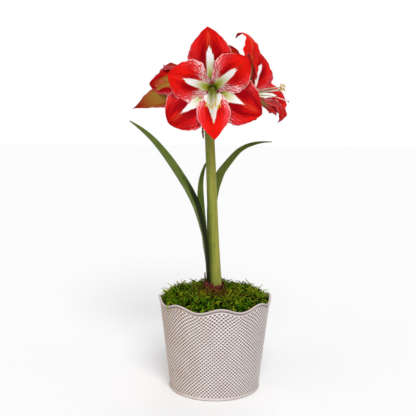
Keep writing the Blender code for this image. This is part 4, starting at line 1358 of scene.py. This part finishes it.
def petal_shape(whorl, azimuth, length, width, lean, tip_lean, widest, point, sweep):
    """A petal in its bloom's own frame, whose third axis runs out of the throat."""
    bend = tip_lean - lean
    leans = np.radians([4, 0.5 * lean, 0.87 * lean, lean, lean + 0.11 * bend, lean + 0.46 * bend, tip_lean])
    fine = np.linspace(0, 1, 401)
    angle = between(fine, leans)
    step = length / 400
    out = whorl["foot"] + np.concatenate([[0], np.cumsum(np.sin((angle[1:] + angle[:-1]) / 2) * step)])
    forward = np.concatenate([[0], np.cumsum(np.cos((angle[1:] + angle[:-1]) / 2) * step)])
    turn = math.radians(azimuth)

    def shape(along, across):
        along = PETAL_START + (0.996 - PETAL_START) * along
        lean_here = np.interp(along, fine, angle)
        swell = np.sin(np.pi * along ** (math.log(0.5) / math.log(widest)))
        half = np.hypot(width / 2 * np.maximum(swell, 0) ** point, PETAL_CLAW * (1 - along))
        half = np.minimum(half, RING_SHARE * np.interp(along, fine, out))
        notch = np.sin(TURN * 5.3 * along + 4 * turn + np.sign(across))
        notch = notch + 0.7 * np.sin(TURN * 12.1 * along + 9 * turn)
        half = half * (1 + 0.018 * notch * np.clip(4 * along - 1, 0, 1) * np.clip(8 * (1 - along), 0, 1))
        side, rise = curl(across * half, between(along, whorl["cup"]))
        aside = across * half
        edge = np.abs(across) ** 2.2 * np.clip(3 * along, 0, 1) * np.clip(6 * (1 - along), 0, 1)
        wave = np.sin(TURN * RUFFLE_WAVES * along + np.where(across > 0, 0.0, 1.9) + turn * 3)
        crimp = np.sin(TURN * 10.5 * along + 2.3 * across + turn) * np.abs(across) ** 7
        groove = np.exp(-(aside / 1.7) ** 2) * np.clip(1.2 - along, 0, 1)
        pleats = np.cos(across * 5.5 * math.pi) * np.clip(2.2 * along, 0, 1) * (1 - along) ** 0.5
        rise = rise + whorl["inward"] + RUFFLE * edge * wave + 0.9 * edge * crimp
        rise = rise - 0.8 * groove + 0.25 * pleats
        radius = np.interp(along, fine, out) - rise * np.cos(lean_here)
        side = side + sweep * along ** 2
        points = np.stack([radius * math.cos(turn) - side * math.sin(turn),
                           radius * math.sin(turn) + side * math.cos(turn),
                           np.interp(along, fine, forward) + rise * np.sin(lean_here)], axis=-1)
        return points, aside
    return shape


def fringe_shape(turn):
    """A ragged fringe at the edge of the throat, in the bloom's own frame."""
    def shape(along, across):
        angle = turn + 0.5 * across
        tear = 1 + 0.35 * np.sin(17 * across + 2 * turn) + 0.2 * np.sin(31 * across + turn)
        height = along * FRINGE_HEIGHT * tear * (1 - across ** 4)
        out = FRINGE_R + 1.2 * along + 0.9 * along * np.sin(13 * across + turn)
        points = np.stack([out * np.cos(angle), out * np.sin(angle), FRINGE_Z + height], axis=-1)
        return points, 20 + 0 * along
    return shape


def bloom_frame(bloom):
    """Places a bloom: x across, y up and z out of its throat, in metres."""
    out = Vector(bloom["faces"]).normalized()
    across = Vector((0, 0, 1)).cross(out).normalized()
    turned = Matrix((across, out.cross(across), out)).transposed().to_4x4()
    return Matrix.Translation(Vector(bloom["foot"]) * MM) @ turned


def petal_face_material(look):
    """The inner side: a white rib stripe with a brushed end, and red veins on white near the throat."""
    material, tree, shader = new_material("petal_face", roughness=0.55, specular_ior_level=0.03)
    across, along, aside = place_on(tree)
    seed, flank, reach = place_on(tree, "kind")
    taper, dark = place_on(tree, "tone")[:2]
    side, off = across.size(), aside.size()
    streak = grain(tree, across * 5 + seed, along * 1.4, seed, detail=4)
    thread = grain(tree, across * 19 + seed * 2, along * 3.0, seed, detail=3)
    cloud = grain(tree, across * 1.8 + seed, along * 3.2, seed, detail=3)

    # Bright red, deeper in long streaks, with painted shade on both sides of the rib and an orange tone along
    # the outer rib that is partly a painted highlight
    # Deep is painted shade on both sides of the rib
    deep = (1 - off.rise(0.7, 2.4)) * (1 - along.rise(0.5, 0.92))
    warp = grain(tree, across * 4 + seed, along * 7, seed, detail=2) - 0.5
    spread = side - along * 1.1
    fan = (spread * 8 + warp * 1.6 + seed).lines()
    fine_fan = (spread * 16 + warp * 2.6 + seed).lines()
    # Dark is the petal's painted shade, and painted light where it is below 0
    shade = streak * 0.8 + cloud * 0.6 + thread * 0.55 - deep * 0.35 - fine_fan * 0.16 - dark
    red = mixed(tree, shade.rise(0.48, 1.12), look.crimson, look.red)
    # An orange tone along the outer rib, partly a painted highlight
    orange_tone_and_highlight = (1 - off.rise(0.0, 0.5)) * along.rise(0.52, 0.66)
    orange_tone_and_highlight = orange_tone_and_highlight * (1 - along.rise(0.8, 1.0)) * thread.rise(0.4, 0.6)
    red = mixed(tree, orange_tone_and_highlight * (1.2 - flank).most(0) * 0.7, red, (0.85, 0.16, 0.05))

    # White on the flanks near the throat, crossed by a fan of red veins that thickens outward
    limit = side * 0.5 + flank * 0.24 + 0.18 + (streak - 0.5) * 0.25 - (flank - 1).most(0) * 1.1
    fade = flank.least(1.1) * (1 - along.rise(limit - 0.42, limit + 0.12))
    net = cell_edge(tree, spread * 7 + warp + seed, along * 9, seed)
    veined = (fade * 1.2 - fan * 0.95 - fine_fan * 0.25 + (thread - 0.5) * 0.4).rise(0.0, 0.3)
    veined = veined * net.rise(0.0, 0.19)
    blush = mixed(tree, fade.rise(0.3, 0.95), (0.74, 0.13, 0.16), look.white)
    red = mixed(tree, fade * 0.5, red, (0.58, 0.006, 0.012))
    colour = mixed(tree, veined * (fade * 0.6 + 0.16).least(0.82), red, blush)
    pink = side.rise(0.4, 1.0) * (1 - along.rise(0.55, 0.95))
    pink = pink * (1 - fan.rise(0.4, 0.95)) * thread.rise(0.35, 0.6)
    colour = mixed(tree, pink * (flank - 0.3).most(0) * 0.75, colour, (0.74, 0.16, 0.20))

    # The white stripe along the rib, brushed at its end, and on some petals drawn to a point
    wide = (1.1 - flank.least(1) * 0.3) * (look.stripe / MM / 10)
    wide = wide + (flank - 1).most(0) * 8 * (0.55 - along).most(0)
    brushed = along + (thread - 0.5) * 0.34 + (streak - 0.5) * taper * 0.3
    end = 1 - brushed.rise(reach - 0.1, reach + 0.03)
    point = 1 - ((brushed - reach + 0.42) / 0.42).most(0)
    wide = wide * (1 + taper * (point * 1.9 - 1.1)).most(0)
    stripe = (end * wide - off + (thread - 0.5) * (0.45 + taper * 0.5)).rise(-0.08, 0.1)
    stripe = stripe * end.rise(0.02, 0.3)
    colour = mixed(tree, stripe * 0.96, colour, look.white)

    # The rib is yellow green towards the throat, and the throat is green
    middle = 1 - off.rise(0.3, 0.8)
    yellow = (1 - (along + (thread - 0.5) * 0.16).rise(0.22, 0.56)) * middle
    colour = mixed(tree, yellow, colour, (0.42, 0.46, 0.035))
    colour = mixed(tree, (1 - along.rise(0.08, 0.24)) * (1 - off.rise(0.4, 1.0)), colour, look.green)
    margin = (side + (thread - 0.5) * 0.07).rise(0.93, 0.99)
    margin = margin * along.rise(0.08, 0.2) * (1 - along.rise(0.8, 0.96))
    margin = margin * (flank * 0.7).least(0.75) * streak.rise(0.3, 0.5)
    colour = mixed(tree, margin, colour, (0.86, 0.50, 0.50))
    ridge = (across * 24 + warp * 1.2).lines()
    finish_material(tree, shader, colour, ridge * 0.4 + thread * 0.6, 0.5, 0.42 + streak * 0.18)
    return material


def petal_back_material(look):
    """The outer side: an olive rib that fades to a veined crimson blade."""
    material, tree, shader = new_material("petal_back", roughness=0.55, specular_ior_level=0.03)
    across, along, aside = place_on(tree)
    seed, flank = place_on(tree, "kind")[:2]
    dark = place_on(tree, "tone")[1]
    streak = grain(tree, across * 6 + seed, along * 1.6, seed, detail=4)
    thread = grain(tree, across * 20 + seed, along * 4, seed, detail=3)
    veins = (across * 10 + (streak - 0.5) * 0.8).lines().rise(0.5, 1.0)
    # Dark is the petal's painted shade, and painted light where it is below 0
    shade = streak * 0.8 + thread * 0.4 - dark
    red = mixed(tree, shade.rise(0.3, 0.7), look.crimson, shaded(look.red, 0.88))
    red = mixed(tree, across.size().rise(0.72, 1.0) * 0.4, red, (0.62, 0.13, 0.16))
    colour = mixed(tree, veins * 0.35, red, look.crimson)
    wide = 3.7 - along * 2.9 - flank * 0.9 + (streak - 0.5) * 1.3 + dark * 3
    rib = 1 - (aside.size() / wide.most(0.1)).rise(0.35, 1.0)
    rib = rib * (1 - along.rise(0.6, 0.98)) * flank.rise(0.2, 0.45)
    warm = mixed(tree, (thread * 0.6 + streak * 0.6 - dark).rise(0.4, 0.8), look.olive, (0.46, 0.30, 0.10))
    warm = mixed(tree, veins * 0.5, warm, (0.32, 0.07, 0.02))
    colour = mixed(tree, rib * 0.92, colour, warm)
    colour = mixed(tree, 1 - along.rise(0.09, 0.3), colour, (0.20, 0.20, 0.035))
    finish_material(tree, shader, colour, veins * 0.5 + thread * 0.5, 0.4)
    return material


def petal_parts(name, number, thickness):
    """The six petals of a bloom, each with its own marks."""
    parts = []
    for i, (petal, (flank, reach, taper, deep)) in enumerate(zip(BLOOMS[name]["petals"], MARKS[name])):
        kind = (3.1 * number + 1.7 * i, flank, reach)
        part = sheet_part(petal_shape(*petal), PETAL_ROWS, PETAL_COLUMNS, thickness, kind)
        # The tone holds the stripe's taper and the petal's painted shade
        part["values"]["tone"] = np.tile((taper, deep, 0.0), (len(part["points"]), 1))
        parts.append(part)
    return parts


def fringe_part(bearing, number, thickness):
    """A small ragged fringe, which stands in the throat between the inner petals."""
    part = sheet_part(fringe_shape(math.radians(bearing)), 9, 41, thickness, (3.1 * number, 1.1, 0))
    part["values"]["place"] = part["values"]["place"] * (1, 0.12, 0) + (0, 0.30, 2.0)
    return part


def tube_part():
    """The tube that the petals grow from, six-sided, and green in its throat."""
    line = [(0, 0, height) for height in TUBE_HEIGHTS]
    part = swept_part(line, TUBE_RADII, 16, 48, slot=1, lobes=6, lobe_depth=0.04)
    # With no values of its own it is painted as the foot of a petal
    part["values"] = {}
    return part


def make_blooms(look):
    face, back = petal_face_material(look), petal_back_material(look)
    full = look.thickness / MM

    def thickness(along, across):
        return full * (1 - 0.5 * np.abs(across) ** 1.5) * (1 - 0.3 * along)

    for number, (name, bloom) in enumerate(BLOOMS.items()):
        parts = petal_parts(name, number, thickness)
        parts += [fringe_part(bearing, number, thickness) for bearing in FRINGE_BEARINGS]
        parts.append(tube_part())
        obj = piece("petals_" + name, parts, [face, back])
        obj.data.transform(bloom_frame(bloom))
        dress(obj, "petal", "bloom_" + name)


def filament_material(look):
    material, tree, shader = new_material("filament", roughness=0.4)
    around, along = place_on(tree)[:2]
    thread = grain(tree, around * 3, along * 9, 0.0)
    colour = mixed(tree, along.rise(0.25, 0.75), look.green, (0.74, 0.76, 0.60))
    colour = mixed(tree, along.rise(0.55, 0.95) * 0.5, colour, (0.80, 0.62, 0.58))
    finish_material(tree, shader, colour, thread, 0.2)
    return material


def pollen_material(look):
    material, tree, shader = new_material("pollen", roughness=0.9)
    dust = even_grain(tree, 1500, 2)
    colour = mixed(tree, dust.rise(0.35, 0.65), shaded(look.pollen, 0.55), look.pollen)
    finish_material(tree, shader, colour, dust, 0.5)
    return material


def filament_line(i):
    """The line of a filament: it leaves the ring in the throat and arches to its place in the fan."""
    turn = math.radians(STAMEN_STARTS[i])
    start = np.array((math.cos(turn), math.sin(turn), 0)) * STAMEN_RING_R
    short = 1 - 0.05 * (i % 3)
    lift = 2.2 * math.sin(2.4 * i + 1)
    line = []
    for step, (across, up, out) in enumerate(STAMEN_LINE):
        spread = start * max(1 - step / 3, 0) + (STAMEN_DRIFT[step], lift * step / 4, 0)
        line.append(np.array((across * STAMEN_FAN[i], up, out * short if step > 1 else out)) + spread)
    return line


def anther_part(tip, i):
    """An anther, which hangs by its middle, a little bent, each at its own slant."""
    lean = 0.55 * math.sin(3.7 * i + 0.6)
    bent = [tip + (lean * y, y, 0.9 - 0.05 * y * y) for y in (-3.1, -1.7, 0, 1.7, 3.4)]
    return swept_part(bent, (0.4, 0.9, 1.05, 0.95, 0.35), 16, 12, slot=1, lobes=2, lobe_depth=0.14)


def style_parts():
    """The style, and the three lobes at its end."""
    parts = [swept_part(STYLE_LINE, (1.0, 0.9, 0.8, 0.75), 48, 12)]
    end = np.array(STYLE_LINE[-1], float)
    for lobe in range(3):
        turn = TURN * (lobe / 3 + 0.08)
        away = np.array((math.cos(turn), math.sin(turn), 0.35))
        line = [end - (0, 0.4, 1.2), end + away * 0.9, end + away * 2.1]
        parts.append(swept_part(line, (0.6, 0.7, 0.35), 8, 8))
    return parts


def make_stamens(look):
    filament, pollen = filament_material(look), pollen_material(look)
    for name, bloom in BLOOMS.items():
        seat = [(0, 0, height) for height in STAMEN_SEAT_HEIGHTS]
        parts = [swept_part(seat, (2.7, 2.8, 2.5, 1.2), 8, 24)]
        for i in range(len(STAMEN_FAN)):
            line = filament_line(i)
            parts.append(swept_part(line, (0.9, 0.75, 0.65, 0.55, 0.4), 40, 10))
            parts.append(anther_part(line[-1], i))
        obj = piece("stamens_and_style_" + name, parts + style_parts(), [filament, pollen])
        obj.data.transform(bloom_frame(bloom))
        dress(obj, "stamen", "stamens_" + name)


# Stage

def make_floor(look):
    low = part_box("pot")[0].z
    mesh = bpy.data.meshes.new("floor")
    corners = ((-1, -1), (1, -1), (1, 1), (-1, 1))
    mesh.from_pydata([(x * FLOOR_HALF, y * FLOOR_HALF, low) for x, y in corners], [], [(0, 1, 2, 3)])
    floor = link("floor", mesh)
    material, tree, shader = new_material("pale_floor", roughness=0.9, specular_ior_level=0.1)
    x, y = object_place(tree)[:2]
    colour = mixed(tree, grain(tree, x * 3, y * 3, 0.0), look.floor, shaded(look.floor, 0.99))
    plug(tree, shader.inputs["Base Color"], colour)
    mesh.materials.append(material)


def make_lights(look):
    """A soft white surround, brighter where it is seen than where it lights, and three wide lights."""
    world = bpy.data.worlds.new("studio")
    world.use_nodes = True
    tree = world.node_tree
    background = tree.nodes["Background"]
    background.inputs["Color"].default_value = (1, 1, 1, 1)
    seen = Field(tree, tree.nodes.new("ShaderNodeLightPath").outputs["Is Camera Ray"])
    plug(tree, background.inputs["Strength"], seen * (1 - look.surround) + look.surround)
    bpy.context.scene.world = world
    bpy.context.scene.view_settings.view_transform = "Standard"

    # Each light's direction, its spread in degrees and its strength
    lights = {
        "key": ((0.16, -0.9, 0.85), 30, look.key),
        "fill": ((-0.7, -0.8, 0.35), 70, look.fill),
        "rear": ((0.2, 0.9, 0.7), 50, look.fill),
    }
    for name, (side, spread, strength) in lights.items():
        data = bpy.data.lights.new(name, "SUN")
        data.angle = math.radians(spread)
        data.energy = strength
        link(name, data).rotation_euler = Vector(side).to_track_quat("Z", "Y").to_euler()


def make_camera(look):
    """The camera stands in front, a little above the middle of the plant, and looks slightly down."""
    pitch, yaw, roll = (math.radians(angle) for angle in (CAMERA_PITCH, CAMERA_YAW, CAMERA_ROLL))
    forward = Vector((math.sin(yaw) * math.cos(pitch), math.cos(yaw) * math.cos(pitch), -math.sin(pitch)))
    level = forward.cross(Vector((0, 0, 1))).normalized()
    upright = level.cross(forward)
    right = math.cos(roll) * level + math.sin(roll) * upright
    up = math.cos(roll) * upright - math.sin(roll) * level
    data = bpy.data.cameras.new("camera")
    data.lens = look.lens
    data.sensor_width = CAMERA_SENSOR
    camera = link("camera", data)
    turned = Matrix((right, up, -forward)).transposed().to_4x4()
    camera.matrix_world = Matrix.Translation(CAMERA_PLACE) @ turned
    bpy.context.scene.camera = camera


def make_stage(look):
    make_floor(look)
    make_lights(look)
    make_camera(look)


# Operators

class AMARYLLIS_OT_pot(bpy.types.Operator):
    """Make the dimpled metal pot"""

    bl_idname = "amaryllis.pot"
    bl_label = "Pot"

    def execute(self, context):
        make_pot(context.scene.amaryllis_pot)
        return {"FINISHED"}


class AMARYLLIS_OT_moss(bpy.types.Operator):
    """Make the moss with its sprigs, and finish the soil under it"""

    bl_idname = "amaryllis.moss"
    bl_label = "Moss and Soil"

    def execute(self, context):
        make_moss(context.scene.amaryllis_moss)
        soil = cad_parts["potting_mix"]
        soil.data.materials.clear()
        soil.data.materials.append(soil_material())
        return {"FINISHED"}


class AMARYLLIS_OT_bulb(bpy.types.Operator):
    """Make the bulb with its papery collar"""

    bl_idname = "amaryllis.bulb"
    bl_label = "Bulb"

    def execute(self, context):
        make_bulb(context.scene.amaryllis_bulb)
        return {"FINISHED"}


class AMARYLLIS_OT_leaves(bpy.types.Operator):
    """Make the strap leaves and the papery bracts"""

    bl_idname = "amaryllis.leaves"
    bl_label = "Leaves and Bracts"

    def execute(self, context):
        make_leaves(context.scene.amaryllis_leaf, context.scene.amaryllis_stalk)
        return {"FINISHED"}


class AMARYLLIS_OT_stalk(bpy.types.Operator):
    """Make the flower stalk with its bloom stems"""

    bl_idname = "amaryllis.stalk"
    bl_label = "Stalk"

    def execute(self, context):
        make_scape(context.scene.amaryllis_stalk)
        return {"FINISHED"}


class AMARYLLIS_OT_blooms(bpy.types.Operator):
    """Make the petals of every bloom"""

    bl_idname = "amaryllis.blooms"
    bl_label = "Petals"

    def execute(self, context):
        make_blooms(context.scene.amaryllis_bloom)
        return {"FINISHED"}


class AMARYLLIS_OT_stamens(bpy.types.Operator):
    """Make the stamens and style of every bloom"""

    bl_idname = "amaryllis.stamens"
    bl_label = "Stamens"

    def execute(self, context):
        make_stamens(context.scene.amaryllis_bloom)
        return {"FINISHED"}


class AMARYLLIS_OT_stage(bpy.types.Operator):
    """Make the floor, the lights and the camera"""

    bl_idname = "amaryllis.stage"
    bl_label = "Stage"

    def execute(self, context):
        make_stage(context.scene.amaryllis_stage)
        return {"FINISHED"}


OPERATORS = (AMARYLLIS_OT_pot, AMARYLLIS_OT_moss, AMARYLLIS_OT_bulb, AMARYLLIS_OT_leaves, AMARYLLIS_OT_stalk,
             AMARYLLIS_OT_blooms, AMARYLLIS_OT_stamens, AMARYLLIS_OT_stage)
SETTINGS = {
    "amaryllis_pot": PotSettings,
    "amaryllis_moss": MossSettings,
    "amaryllis_bulb": BulbSettings,
    "amaryllis_leaf": LeafSettings,
    "amaryllis_stalk": StalkSettings,
    "amaryllis_bloom": BloomSettings,
    "amaryllis_stage": StageSettings,
}


class VIEW3D_PT_amaryllis(bpy.types.Panel):
    """Lists the steps that make the plant, and the settings of each"""

    bl_label = "Potted Amaryllis"
    bl_space_type = "VIEW_3D"
    bl_region_type = "UI"
    bl_category = "Amaryllis"

    def draw(self, context):
        for operator in OPERATORS:
            self.layout.operator(operator.bl_idname)
        for name, group in SETTINGS.items():
            box = self.layout.box()
            box.label(text=group.__doc__)
            for key in group.__annotations__:
                box.prop(getattr(context.scene, name), key)


def register():
    for group in (*SETTINGS.values(), *OPERATORS, VIEW3D_PT_amaryllis):
        bpy.utils.register_class(group)
    for name, group in SETTINGS.items():
        setattr(bpy.types.Scene, name, PointerProperty(type=group))


def unregister():
    for name in SETTINGS:
        delattr(bpy.types.Scene, name)
    for group in reversed((*SETTINGS.values(), *OPERATORS, VIEW3D_PT_amaryllis)):
        bpy.utils.unregister_class(group)


def main():
    register()
    bpy.ops.amaryllis.pot()
    bpy.ops.amaryllis.moss()
    bpy.ops.amaryllis.bulb()
    bpy.ops.amaryllis.leaves()
    bpy.ops.amaryllis.stalk()
    bpy.ops.amaryllis.blooms()
    bpy.ops.amaryllis.stamens()
    bpy.ops.amaryllis.stage()


if __name__ == "__main__":
    main()
